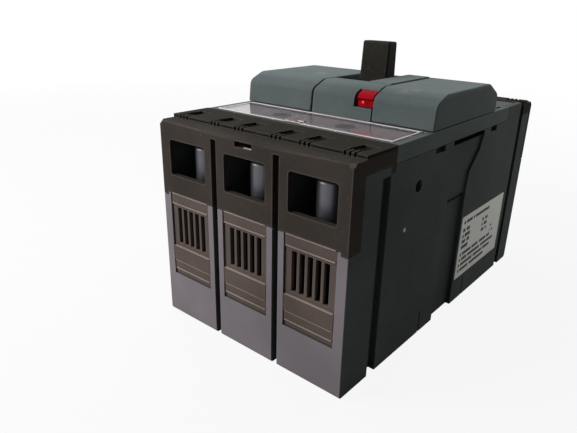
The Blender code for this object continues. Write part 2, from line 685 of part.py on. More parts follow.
def make_base(finish):
    foot = [FOOT_RADIUS, FOOT_RADIUS, 0, 0]
    outline = rounded(rectangle(-HALF_LENGTH, HALF_LENGTH, 0, BASE_HEIGHT), foot)
    shape = prism(outline, "X", -HALF_WIDTH, HALF_WIDTH)
    inner = HALF_LENGTH - END_FRAME
    cuts = []
    for centre in POLE_CENTRES:
        x_range = (centre - CHAMBER_HALF, centre + CHAMBER_HALF)
        cuts.append(block(x_range, (-inner, inner), (FLOOR, BASE_HEIGHT + OVER)))
    for end in (LOAD, LINE):
        cuts += end_cuts(end)
        for centre in WALL_CENTRES:
            place = (centre, end * MOUNT_HOLE_Y)
            cuts.append(round_bar(place, MOUNT_HOLE_DIAMETER / 2, "Z", -OVER, BASE_HEIGHT, 16))
            cuts.append(round_bar(place, MOUNT_BORE_DIAMETER / 2, "Z",
                                  MOUNT_BORE_FLOOR, BASE_HEIGHT + OVER, 16))
    for side in (-1, 1):
        cuts += side_cuts(side)
    crossbar_reach = CHAMBER_EDGE + CROSSBAR_END_SEAT + SEAT_GAP
    trip_reach = CHAMBER_EDGE + TRIP_BAR_END_SEAT + SEAT_GAP
    cuts.append(upright_notch(0, CROSSBAR_Z, CROSSBAR_SHAFT_RADIUS + SEAT_GAP, crossbar_reach))
    cuts.append(upright_notch(TRIP_BAR_Y, TRIP_BAR_Z, TRIP_BAR_RADIUS + SEAT_GAP, trip_reach))
    additions = []
    shelf_top = PAD_BOTTOM - SEAT_GAP
    screw_holes = []
    for end in (LOAD, LINE):
        for centre in POLE_CENTRES:
            x_range = (centre - CHAMBER_HALF - OVER, centre + CHAMBER_HALF + OVER)
            y_range = sorted((end * SHELF_START, end * SHELF_END))
            additions.append(block(x_range, y_range, (shelf_top - SHELF_THICKNESS, shelf_top)))
            screw_holes.append(round_bar((centre, end * SCREW_Y), SCREW_SHANK_RADIUS + OVER, "Z",
                                         shelf_top - SHELF_THICKNESS - OVER, shelf_top + OVER, 12))
    for side in (-1, 1):
        x_range = sorted((side * (HALF_WIDTH - SIDE_RAISE_THICKNESS), side * HALF_WIDTH))
        z_range = (BASE_HEIGHT - SNAP_POCKET_HEIGHT, DECK_HEIGHT)
        additions.append(block(x_range, (SIDE_RAISE_START, SIDE_RAISE_END), z_range))
    steps = [("DIFFERENCE", cuts), ("UNION", additions), ("DIFFERENCE", screw_holes)]
    make("base_housing", shape, finish, steps)


# Nose profile shared by the main cover's centre section and the two accessory covers

def nose_outline(bottom, distance=0.0):
    points = [(NOSE_FRONT_Y, bottom),
              (NOSE_BACK_Y, bottom),
              (NOSE_BACK_Y, DECK_HEIGHT + NOSE_BACK_FOLD),
              (NOSE_TOP_BACK, NOSE_TOP),
              (NOSE_TOP_FRONT, NOSE_TOP),
              (NOSE_FRONT_Y + NOSE_FRONT_LEAN, DECK_HEIGHT + NOSE_FRONT_FOLD)]
    fold = NOSE_FOLD_RADIUS - distance
    crease = NOSE_TOP_RADIUS - distance
    if distance:
        points = inset(points, distance)
        points[0] = (points[0][0], bottom - OVER)
        points[1] = (points[1][0], bottom - OVER)
    return rounded(points, [0, 0, fold, crease, crease, fold])


def button_outline():
    # the red button's section: it follows the nose's front face and chamfer, set back a little
    skin = inset(nose_outline(DECK_HEIGHT), BUTTON_INSET)
    bottom = DECK_HEIGHT + BUTTON_BOTTOM
    front = [point for point in skin if point[0] < BUTTON_BACK_Y and point[1] > bottom]
    front.sort(key=lambda point: point[0] + point[1])
    rise = (NOSE_RISE - NOSE_FRONT_FOLD) / (NOSE_TOP_FRONT - NOSE_FRONT_Y - NOSE_FRONT_LEAN)
    last = front[-1]
    front.append((BUTTON_BACK_Y, last[1] + (BUTTON_BACK_Y - last[0]) * rise))
    toe = (NOSE_FRONT_Y + BUTTON_INSET + NOSE_FRONT_LEAN * BUTTON_BOTTOM / NOSE_FRONT_FOLD, bottom)
    heel = (BUTTON_BACK_Y, bottom)
    return [heel, *reversed(front), toe]


# Main cover

def make_main_cover(finish):
    edge = HALF_WIDTH
    shape = block((-edge, edge), (COVER_START, COVER_END), (COVER_BOTTOM, DECK_HEIGHT))
    centre = prism(nose_outline(DECK_HEIGHT - OVER), "X", CENTRE_LEFT, CENTRE_RIGHT)
    panel = block((SLOT_RIGHT, CENTRE_RIGHT), (PANEL_FRONT, PANEL_BACK),
                  (NOSE_TOP - OVER, NOSE_TOP + PANEL_RISE))
    step = block((-edge, edge), (COVER_END - OVER, COVER_END + COVER_STEP),
                 (COVER_BOTTOM, COVER_BOTTOM + BAY_FLOOR))
    cuts = []
    # the nose's hollow, the toggle's slot through nose and deck
    hollow = (CENTRE_LEFT + NOSE_SIDE_WALL, CENTRE_RIGHT - NOSE_SIDE_WALL)
    cuts.append(prism(nose_outline(DECK_HEIGHT + OVER, NOSE_WALL), "X", *hollow))
    cuts.append(block((CENTRE_LEFT - OVER, SLOT_RIGHT), (SLOT_FRONT, SLOT_BACK),
                      (NOSE_TOP - SLOT_LIP, NOSE_TOP + OVER)))
    cuts.append(block((CENTRE_LEFT + NOSE_SIDE_WALL, DECK_SLOT_RIGHT), (DECK_SLOT_FRONT, DECK_SLOT_BACK),
                      (COVER_BOTTOM - OVER, DECK_HEIGHT + OVER)))
    # the trip button's window, with the wall thinned below it, and its stem's hole
    window_bottom = DECK_HEIGHT + BUTTON_BOTTOM - BUTTON_CLEARANCE
    window_left = BUTTON_LEFT - BUTTON_CLEARANCE
    window = rectangle(NOSE_FRONT_Y - OVER, BUTTON_BACK_Y + BUTTON_CLEARANCE, window_bottom, NOSE_TOP + OVER)
    cuts.append(prism(window, "X", window_left, CENTRE_RIGHT + OVER))
    lip = NOSE_FRONT_Y + BUTTON_WALL_LIP + NOSE_FRONT_LEAN * BUTTON_BOTTOM / NOSE_FRONT_FOLD
    relief_bottom = window_bottom - BUTTON_TRAVEL - BUTTON_CLEARANCE
    cuts.append(block((window_left, CENTRE_RIGHT + OVER), (lip, BUTTON_BACK_Y + BUTTON_CLEARANCE),
                      (relief_bottom, window_bottom + OVER)))
    cuts.append(block((BUTTON_STEM_LEFT - SEAT_GAP, BUTTON_STEM_LEFT + BUTTON_STEM_WIDTH + SEAT_GAP),
                      (BUTTON_STEM_FRONT - SEAT_GAP, BUTTON_STEM_BACK + SEAT_GAP),
                      (COVER_BOTTOM - OVER, DECK_HEIGHT + OVER)))
    # accessory bays on both sides of the centre section
    bay_front = NOSE_FRONT_Y + BAY_RIM
    bay_back = NOSE_BACK_Y - BAY_RIM
    bay_floor = COVER_BOTTOM + BAY_FLOOR
    for x_range in ((BAY_RIM - edge, CENTRE_LEFT - BAY_CENTRE_RIM),
                    (CENTRE_RIGHT + BAY_CENTRE_RIM, edge - BAY_RIM)):
        cuts.append(block(x_range, (bay_front, bay_back), (bay_floor, DECK_HEIGHT + OVER)))
    # the clear lid's bed with its pin holes, and the trip unit panel's stepped opening
    bed_half = LID_HALF_WIDTH + SEAT_GAP
    bed_back = LID_AXIS_Y + LID_THICKNESS / 2 + 2 * SEAT_GAP
    cuts.append(block((-bed_half, bed_half), (LID_FRONT - SEAT_GAP, bed_back),
                      (LID_BED, DECK_HEIGHT + OVER)))
    pin_reach = LID_HALF_WIDTH + LID_PIN_LENGTH + SEAT_GAP
    cuts.append(round_bar((LID_AXIS_Y, LID_AXIS_Z), LID_PIN_RADIUS + SEAT_GAP, "X",
                          -pin_reach, pin_reach, 10))
    panel_half = TRIP_PANEL_HALF_WIDTH + SEAT_GAP
    y_range = (TRIP_PANEL_FRONT - SEAT_GAP, TRIP_PANEL_BACK + SEAT_GAP)
    ledge_top = LID_BED - TRIP_PANEL_THICKNESS - SEAT_GAP
    cuts.append(block((-panel_half, panel_half), y_range, (ledge_top, LID_BED + OVER)))
    through = panel_half - TRIP_PANEL_LEDGE
    y_range = (y_range[0] + TRIP_PANEL_LEDGE, y_range[1] - TRIP_PANEL_LEDGE)
    cuts.append(block((-through, through), y_range, (COVER_BOTTOM - OVER, ledge_top + OVER)))
    # hollows under the rear deck, one over each pole, and the corners that the base's walls fill
    roof = DECK_HEIGHT - POCKET_ROOF
    for pole in POLE_CENTRES:
        half = CHAMBER_HALF - BAY_FLOOR
        cuts.append(block((pole - half, pole + half), (NOSE_BACK_Y + OVER, COVER_END - BAY_RIM),
                          (COVER_BOTTOM - OVER, roof)))
    for side in (-1, 1):
        inner = side * (HALF_WIDTH - SIDE_RAISE_THICKNESS - SEAT_GAP)
        x_range = sorted((inner, side * (HALF_WIDTH + OVER)))
        cuts.append(block(x_range, (SIDE_RAISE_START - SEAT_GAP, COVER_END + COVER_STEP + OVER),
                          (COVER_BOTTOM - OVER, DECK_HEIGHT + OVER)))
        key_x = side * (HALF_WIDTH - KEY_SLOT_INSET)
        cuts.append(block((key_x - KEY_SLOT_WIDTH / 2, key_x + KEY_SLOT_WIDTH / 2),
                          (KEY_SLOT_Y - KEY_SLOT_LENGTH / 2, KEY_SLOT_Y + KEY_SLOT_LENGTH / 2),
                          (DECK_HEIGHT - POCKET_ROOF, DECK_HEIGHT + OVER)))
    make("main_cover", shape, finish, [("UNION", [centre, panel, step]), ("DIFFERENCE", cuts)])


def make_accessory_cover(name, x_range, finish):
    bottom = DECK_HEIGHT + SEAT_GAP
    shape = prism(nose_outline(bottom), "X", *x_range)
    inner = (x_range[0] + NOSE_WALL, x_range[1] - NOSE_WALL)
    make(name, shape, finish, [("DIFFERENCE", [prism(nose_outline(bottom, NOSE_WALL), "X", *inner)])])


# Clear lid, trip unit panel and dials

def make_lid(finish):
    half = LID_THICKNESS / 2
    outline = [(LID_FRONT, LID_TOP - LID_THICKNESS)]
    outline += arc((LID_AXIS_Y, LID_AXIS_Z), half, -math.pi / 2, math.pi / 2, 6)
    outline.append((LID_FRONT, LID_TOP))
    pin_reach = LID_HALF_WIDTH + LID_PIN_LENGTH
    pin = round_bar((LID_AXIS_Y, LID_AXIS_Z), LID_PIN_RADIUS, "X", -pin_reach, pin_reach, 10)
    tab = block((LID_TAB_X - LID_TAB_WIDTH / 2, LID_TAB_X + LID_TAB_WIDTH / 2),
                (LID_FRONT, LID_FRONT + LID_TAB_LENGTH), (LID_AXIS_Z, LID_TOP + LID_TAB_RISE))
    shape = prism(outline, "X", -LID_HALF_WIDTH, LID_HALF_WIDTH)
    make("clear_cover", shape, finish, [("UNION", [pin, tab])], pivot=(0, LID_AXIS_Y, LID_AXIS_Z))


def make_trip_panel(finish, dial_finish):
    top = LID_BED
    bottom = top - TRIP_PANEL_THICKNESS
    shape = block((-TRIP_PANEL_HALF_WIDTH, TRIP_PANEL_HALF_WIDTH), (TRIP_PANEL_FRONT, TRIP_PANEL_BACK),
                  (bottom, top))
    cuts = []
    for name, x in (("current_dial", -DIAL_SPACING / 2), ("time_dial", DIAL_SPACING / 2)):
        place = (x, DIAL_Y)
        cuts.append(round_bar(place, DIAL_RADIUS + SEAT_GAP, "Z", top - DIAL_WELL, top + OVER))
        cuts.append(round_bar(place, DIAL_STEM_RADIUS + SEAT_GAP, "Z", bottom - OVER, top, 12))
        dial_bottom = top - DIAL_WELL + SEAT_GAP
        profile = [(DIAL_STEM_RADIUS, bottom - OVER), (DIAL_STEM_RADIUS, dial_bottom),
                   (DIAL_RADIUS, dial_bottom), (DIAL_RADIUS, dial_bottom + DIAL_THICKNESS)]
        slot_half = DIAL_RADIUS * DIAL_SLOT_SHARE
        slot = block((x - DIAL_SLOT_WIDTH / 2, x + DIAL_SLOT_WIDTH / 2),
                     (DIAL_Y - slot_half, DIAL_Y + slot_half),
                     (dial_bottom + DIAL_THICKNESS / 2, dial_bottom + DIAL_THICKNESS + OVER))
        make(name, turning(profile, place, "Z"), dial_finish, [("DIFFERENCE", [slot])],
             pivot=(x, DIAL_Y, dial_bottom), smooth=True)
    make("trip_unit_panel", shape, finish, [("DIFFERENCE", cuts)])


# Terminal covers and what lies behind them

def make_terminal_cover(end, finish):
    depth = LOAD_COVER_DEPTH if end == LOAD else LINE_COVER_DEPTH
    back = HALF_LENGTH - depth
    plate = TERMINAL_COVER_TOP - TERMINAL_COVER_PLATE
    wall = HALF_LENGTH - TERMINAL_COVER_WALL

    def across(low, high):
        # a range of Y given as distances out from the middle, on this cover's end
        return sorted((end * low, end * high))

    outline = [(end * HALF_LENGTH, TERMINAL_COVER_BOTTOM),
               (end * wall, TERMINAL_COVER_BOTTOM),
               (end * wall, plate),
               (end * back, plate),
               (end * back, TERMINAL_COVER_TOP),
               (end * (HALF_LENGTH - COVER_LIP_LENGTH), TERMINAL_COVER_TOP),
               (end * (HALF_LENGTH - COVER_LIP_LENGTH), TERMINAL_COVER_TOP - COVER_LIP_DROP),
               (end * HALF_LENGTH, TERMINAL_COVER_TOP - COVER_LIP_DROP)]
    shape = prism(outline, "X", -HALF_WIDTH, HALF_WIDTH)
    additions = []
    cuts = []
    skirt_start = back if end == LOAD else LINE_GROOVE_Y + LINE_GROOVE_WIDTH / 2
    for side in (-1, 1):
        x_range = sorted((side * (HALF_WIDTH - TERMINAL_COVER_SKIRT), side * HALF_WIDTH))
        additions.append(block(x_range, across(skirt_start, wall + OVER), (COVER_BOTTOM, plate + OVER)))
        outer = sorted((side * (HALF_WIDTH - TERMINAL_COVER_SKIRT), side * (HALF_WIDTH + OVER)))
        if end == LOAD:
            additions.append(block(x_range, across(HALF_LENGTH - COVER_RETURN_LENGTH, HALF_LENGTH),
                                   (COVER_RETURN_BOTTOM, plate)))
            additions.append(block(x_range, across(back, back + COVER_EAR_LENGTH),
                                   (COVER_EAR_BOTTOM, plate)))
        else:
            cuts.append(block(outer, across(back - OVER, skirt_start), (COVER_BOTTOM, DECK_HEIGHT + OVER)))
    for centre in WALL_CENTRES:
        cuts.append(block((centre - PHASE_SLOT_WIDTH / 2, centre + PHASE_SLOT_WIDTH / 2),
                          across(wall - OVER, HALF_LENGTH + OVER),
                          (TERMINAL_COVER_BOTTOM - OVER, PHASE_SLOT_TOP)))
    for centre in POLE_CENTRES:
        middle = centre + WINDOW_SHIFT
        window = rounded(rectangle(middle - WINDOW_WIDTH / 2, middle + WINDOW_WIDTH / 2,
                                   WINDOW_BOTTOM, WINDOW_TOP), WINDOW_RADIUS)
        cuts.append(prism(window, "Y", *across(wall - OVER, HALF_LENGTH + OVER)))
        for hand in (-1, 1):
            cuts += comb_cuts(end, centre + hand * COMB_OFFSET)
    cuts.append(block((-LATCH_WIDTH / 2, LATCH_WIDTH / 2), across(wall - OVER, HALF_LENGTH + OVER),
                      (LATCH_BOTTOM, LATCH_TOP)))
    if end == LOAD:
        cuts.append(block((DECK_LINE_X - DECK_LINE_LENGTH / 2, DECK_LINE_X + DECK_LINE_LENGTH / 2),
                          (DECK_LINE_Y - DECK_LINE_WIDTH / 2, DECK_LINE_Y + DECK_LINE_WIDTH / 2),
                          (TERMINAL_COVER_TOP - COMB_DEPTH, TERMINAL_COVER_TOP + OVER)))
    name = "terminal_cover_load" if end == LOAD else "terminal_cover_line"
    make(name, shape, finish, [("UNION", additions), ("DIFFERENCE", cuts)])


def comb_cuts(end, x):
    # three notches and, behind them, one shallow slanted trough in the cover's top
    start = HALF_LENGTH - COVER_LIP_LENGTH
    floor = TERMINAL_COVER_TOP - COMB_DEPTH
    lip = TERMINAL_COVER_TOP - COVER_LIP_DROP
    shapes = []
    for index in (-1, 0, 1):
        notch = x + index * COMB_PITCH
        y_range = sorted((end * (start - COMB_LENGTH - OVER / 2), end * (start + OVER)))
        x_range = (notch - COMB_TOOTH / 2, notch + COMB_TOOTH / 2)
        shapes.append(block(x_range, y_range, (lip, TERMINAL_COVER_TOP + OVER)))
    outer = end * (start - COMB_LENGTH)
    length = min(TROUGH_LENGTH, start - COMB_LENGTH - trough_limit(end))
    inner = outer - end * length
    half = TROUGH_WIDTH / 2
    outline = [(x - half, outer), (x + half, outer),
               (x + half + TROUGH_SLANT, inner), (x - half + TROUGH_SLANT, inner)]
    shapes.append(prism(outline, "Z", floor, TERMINAL_COVER_TOP + OVER))
    return shapes


def trough_limit(end):
    depth = LOAD_COVER_DEPTH if end == LOAD else LINE_COVER_DEPTH
    return HALF_LENGTH - depth + TERMINAL_COVER_WALL


def make_grille(name, end, centre, finish):
    half = CHAMBER_HALF - SEAT_GAP
    outer = HALF_LENGTH
    back = HALF_LENGTH - GRILLE_THICKNESS
    bottom = SILL_HEIGHT + SEAT_GAP
    outline = [(back, bottom),
               (outer - 2 * GRILLE_FOOT_INSET, bottom),
               (outer - 2 * GRILLE_FOOT_INSET, GRILLE_LIP),
               (outer - GRILLE_FOOT_INSET, GRILLE_LIP),
               (outer - GRILLE_FOOT_INSET, GRILLE_FOOT_STEP),
               (outer, GRILLE_FOOT_STEP),
               (outer, GRILLE_LEDGE),
               (outer - GRILLE_INSET, GRILLE_LEDGE),
               (outer - GRILLE_INSET, GRILLE_UPPER_LEDGE),
               (outer - GRILLE_FOOT_INSET, GRILLE_UPPER_LEDGE),
               (outer - GRILLE_FOOT_INSET, GRILLE_TOP),
               (back, GRILLE_TOP)]
    shape = prism([(end * y, z) for y, z in outline], "X", centre - half, centre + half)
    cuts = []
    for index in range(GRILLE_SLOTS):
        middle = centre + (index - (GRILLE_SLOTS - 1) / 2) * GRILLE_SLOT_PITCH
        y_range = sorted((end * (back - OVER), end * (outer + OVER)))
        cuts.append(block((middle - GRILLE_SLOT_WIDTH / 2, middle + GRILLE_SLOT_WIDTH / 2), y_range,
                          (GRILLE_SLOT_BOTTOM, GRILLE_SLOT_TOP)))
    make(name, shape, finish, [("DIFFERENCE", cuts)])


def make_screw(name, end, centre, finish):
    bottom = TERMINAL_PAD_TOP + SEAT_GAP
    edge = SCREW_EDGE_RADIUS
    shoulder = arc((SCREW_HEAD_RADIUS - edge, SCREW_TOP - edge), edge, 0, math.pi / 2, 3)
    profile = [(SCREW_SHANK_RADIUS, bottom - SCREW_SHANK_LENGTH), (SCREW_SHANK_RADIUS, bottom),
               (SCREW_HEAD_RADIUS, bottom), *shoulder]
    place = (centre, end * SCREW_Y)
    socket = round_bar(place, SCREW_SOCKET_RADIUS, "Z", SCREW_TOP - SCREW_SOCKET_DEPTH, SCREW_TOP + OVER, 6)
    make(name, turning(profile, place, "Z", 18), finish, [("DIFFERENCE", [socket])], smooth=True)


def contact_face(along):
    # height of a closed tip's face above the crossbar's axis, at a distance along Y
    lean = CLOSED_LEAN
    gap = TIP_RISE + BLADE_HEIGHT / 2 + SEAT_GAP
    return along * math.tan(lean) - gap / math.cos(lean)


def make_bar(name, end, centre, finish):
    outer = HALF_LENGTH - PAD_INSET
    near = CONTACT_POST_START
    far = CONTACT_POST_END
    if end == LOAD:
        floor = FLOOR + SEAT_GAP
        rear = BAR_DROP_Y + BAR_THICKNESS
        outline = [(-outer, TERMINAL_PAD_TOP),
                   (-outer, PAD_BOTTOM),
                   (-rear, PAD_BOTTOM),
                   (-rear, floor),
                   (-near, floor),
                   (-near, CROSSBAR_Z + contact_face(-near)),
                   (-far, CROSSBAR_Z + contact_face(-far)),
                   (-far, floor + BAR_THICKNESS),
                   (-BAR_DROP_Y, floor + BAR_THICKNESS),
                   (-BAR_DROP_Y, TERMINAL_PAD_TOP)]
    else:
        outline = [(outer, TERMINAL_PAD_TOP),
                   (outer, PAD_BOTTOM),
                   (far, PAD_BOTTOM),
                   (far, CROSSBAR_Z - contact_face(-far)),
                   (near, CROSSBAR_Z - contact_face(-near)),
                   (near, TERMINAL_PAD_TOP)]
    shape = prism(outline, "X", centre - BAR_WIDTH / 2, centre + BAR_WIDTH / 2)
    y_range = sorted((end * (outer - PAD_LENGTH), end * outer))
    pad = block((centre - PAD_WIDTH / 2, centre + PAD_WIDTH / 2), y_range, (PAD_BOTTOM, TERMINAL_PAD_TOP))
    hole = round_bar((centre, end * SCREW_Y), SCREW_SHANK_RADIUS + SCREW_CLEARANCE, "Z",
                     PAD_BOTTOM - OVER, TERMINAL_PAD_TOP + OVER, 18)
    make(name, shape, finish, [("UNION", [pad]), ("DIFFERENCE", [hole])])


# Crossbar, moving contacts and arc chutes

def make_crossbar(finish, blade_finish):
    end = CHAMBER_EDGE + CROSSBAR_END_SEAT
    profile = [(CROSSBAR_SHAFT_RADIUS, -end)]
    for centre in POLE_CENTRES:
        left = centre - DRUM_WIDTH / 2
        right = centre + DRUM_WIDTH / 2
        profile += [(CROSSBAR_SHAFT_RADIUS, left), (DRUM_RADIUS, left),
                    (DRUM_RADIUS, right), (CROSSBAR_SHAFT_RADIUS, right)]
    profile.append((CROSSBAR_SHAFT_RADIUS, end))
    pivot = (0, 0, CROSSBAR_Z)
    half = BLADE_HEIGHT / 2
    slots = []
    for index, centre in enumerate(POLE_CENTRES):
        reach = DRUM_RADIUS + OVER
        slot_half = half + SEAT_GAP
        corners = [(-reach, -slot_half), (reach, -slot_half), (reach, slot_half), (-reach, slot_half)]
        outline = [turned_point(s, d, REST_LEAN) for s, d in corners]
        outline = [(y, z + CROSSBAR_Z) for y, z in outline]
        width = BLADE_THICKNESS / 2 + SEAT_GAP
        slots.append(prism(outline, "X", centre - width, centre + width))
        inner = BLADE_REACH - TIP_LENGTH
        tip = half + TIP_RISE
        corners = [(-BLADE_REACH, -tip), (-inner, -tip), (-inner, -half), (BLADE_REACH, -half),
                   (BLADE_REACH, tip), (inner, tip), (inner, half), (-BLADE_REACH, half)]
        outline = [turned_point(s, d, REST_LEAN) for s, d in corners]
        outline = [(y, z + CROSSBAR_Z) for y, z in outline]
        blade = prism(outline, "X", centre - BLADE_THICKNESS / 2, centre + BLADE_THICKNESS / 2)
        make(f"contact_blade_{index + 1}", blade, blade_finish, pivot=pivot)
    shape = turning(profile, (0, CROSSBAR_Z), "X", 24)
    make("crossbar", shape, finish, [("DIFFERENCE", slots)], pivot=pivot, smooth=True)


def make_chute(name, end, centre, finish):
    half = CHAMBER_HALF - SEAT_GAP
    outline = []
    for index in range(CHUTE_PLATES):
        bottom = CHUTE_BOTTOM + index * CHUTE_PLATE_PITCH
        if index > 0:
            outline.append((CHUTE_END - CHUTE_SPINE, bottom))
        outline.append((CHUTE_START, bottom))
        outline.append((CHUTE_START, bottom + CHUTE_PLATE))
        if index < CHUTE_PLATES - 1:
            outline.append((CHUTE_END - CHUTE_SPINE, bottom + CHUTE_PLATE))
    top = CHUTE_BOTTOM + (CHUTE_PLATES - 1) * CHUTE_PLATE_PITCH + CHUTE_PLATE
    outline += [(CHUTE_END, top), (CHUTE_END, CHUTE_BOTTOM)]
    shape = prism([(end * y, z) for y, z in outline], "X", centre - half, centre + half)
    mouth = end * (CHUTE_START - OVER)
    notch = [(centre - CHUTE_NOTCH_WIDTH / 2, mouth), (centre + CHUTE_NOTCH_WIDTH / 2, mouth),
             (centre, end * (CHUTE_START + CHUTE_NOTCH_DEPTH))]
    cutter = prism(notch, "Z", CHUTE_BOTTOM - OVER, top + OVER)
    make(name, shape, finish, [("DIFFERENCE", [cutter])])


# Overload release

def make_bimetal(name, centre, finish):
    front = -BAR_DROP_Y + SEAT_GAP
    strip = front + BIMETAL_STANDOFF
    back = strip + BIMETAL_THICKNESS
    foot_top = BIMETAL_BOTTOM + BIMETAL_FOOT
    outline = [(front, BIMETAL_BOTTOM), (back, BIMETAL_BOTTOM), (back, BIMETAL_TOP),
               (strip, BIMETAL_TOP), (strip, foot_top), (front, foot_top)]
    make(name, prism(outline, "X", centre - BIMETAL_WIDTH / 2, centre + BIMETAL_WIDTH / 2), finish)


def make_trip_bar(finish):
    end = CHAMBER_EDGE + TRIP_BAR_END_SEAT
    shape = round_bar((TRIP_BAR_Y, TRIP_BAR_Z), TRIP_BAR_RADIUS, "X", -end, end, 16)
    additions = []
    for centre in POLE_CENTRES:
        bottom = TRIP_BAR_Z - TRIP_FINGER_DROP
        tip = TRIP_BAR_Y - TRIP_FINGER_LENGTH
        outline = [(TRIP_BAR_Y, TRIP_BAR_Z), (TRIP_BAR_Y - TRIP_BAR_RADIUS / 2, TRIP_BAR_Z),
                   (tip, bottom + TRIP_FINGER_THICKNESS), (tip, bottom),
                   (tip + TRIP_FINGER_THICKNESS, bottom)]
        additions.append(prism(outline, "X", centre - TRIP_FINGER_WIDTH / 2,
                               centre + TRIP_FINGER_WIDTH / 2))
    arm_top = BUTTON_STEM_BOTTOM - SEAT_GAP
    outline = [(TRIP_BAR_Y, TRIP_BAR_Z), (TRIP_BAR_Y + TRIP_BAR_RADIUS / 2, TRIP_BAR_Z),
               (BUTTON_STEM_BACK, arm_top - TRIP_ARM_THICKNESS), (BUTTON_STEM_BACK, arm_top),
               (BUTTON_STEM_FRONT, arm_top), (TRIP_BAR_Y, TRIP_BAR_Z + TRIP_BAR_RADIUS / 2)]
    arm_left = BUTTON_STEM_LEFT
    additions.append(prism(outline, "X", arm_left, arm_left + BUTTON_STEM_WIDTH))
    make("trip_bar", shape, finish, [("UNION", additions)], pivot=(0, TRIP_BAR_Y, TRIP_BAR_Z), smooth=True)


def make_trip_button(finish, spring_finish):
    right = CENTRE_RIGHT + RIGHT_GROOVE - BUTTON_CLEARANCE
    shape = prism(button_outline(), "X", BUTTON_LEFT, right)
    bottom = DECK_HEIGHT + BUTTON_BOTTOM
    web = block((BUTTON_STEM_LEFT, BUTTON_LEFT + OVER), (BUTTON_STEM_FRONT, BUTTON_STEM_BACK),
                (bottom, bottom + BUTTON_WEB_HEIGHT))
    stem = block((BUTTON_STEM_LEFT, BUTTON_STEM_LEFT + BUTTON_STEM_WIDTH),
                 (BUTTON_STEM_FRONT, BUTTON_STEM_BACK),
                 (BUTTON_STEM_BOTTOM, bottom + BUTTON_WEB_HEIGHT / 2))
    pivot = (BUTTON_LEFT, BUTTON_STEM_FRONT, bottom)
    make("trip_button", shape, finish, [("UNION", [web, stem])], pivot=pivot)
    spring_place = ((BUTTON_LEFT + right) / 2, BUTTON_SPRING_Y)
    spring = coil(spring_place, BUTTON_SPRING_RADIUS, BUTTON_SPRING_WIRE, BUTTON_SPRING_TURNS,
                  DECK_HEIGHT + SEAT_GAP, bottom - SEAT_GAP, 0)
    make("trip_button_spring", spring, spring_finish, smooth=True)


# Toggle, yoke and mechanism frame; the toggle's pieces are drawn about its pivot

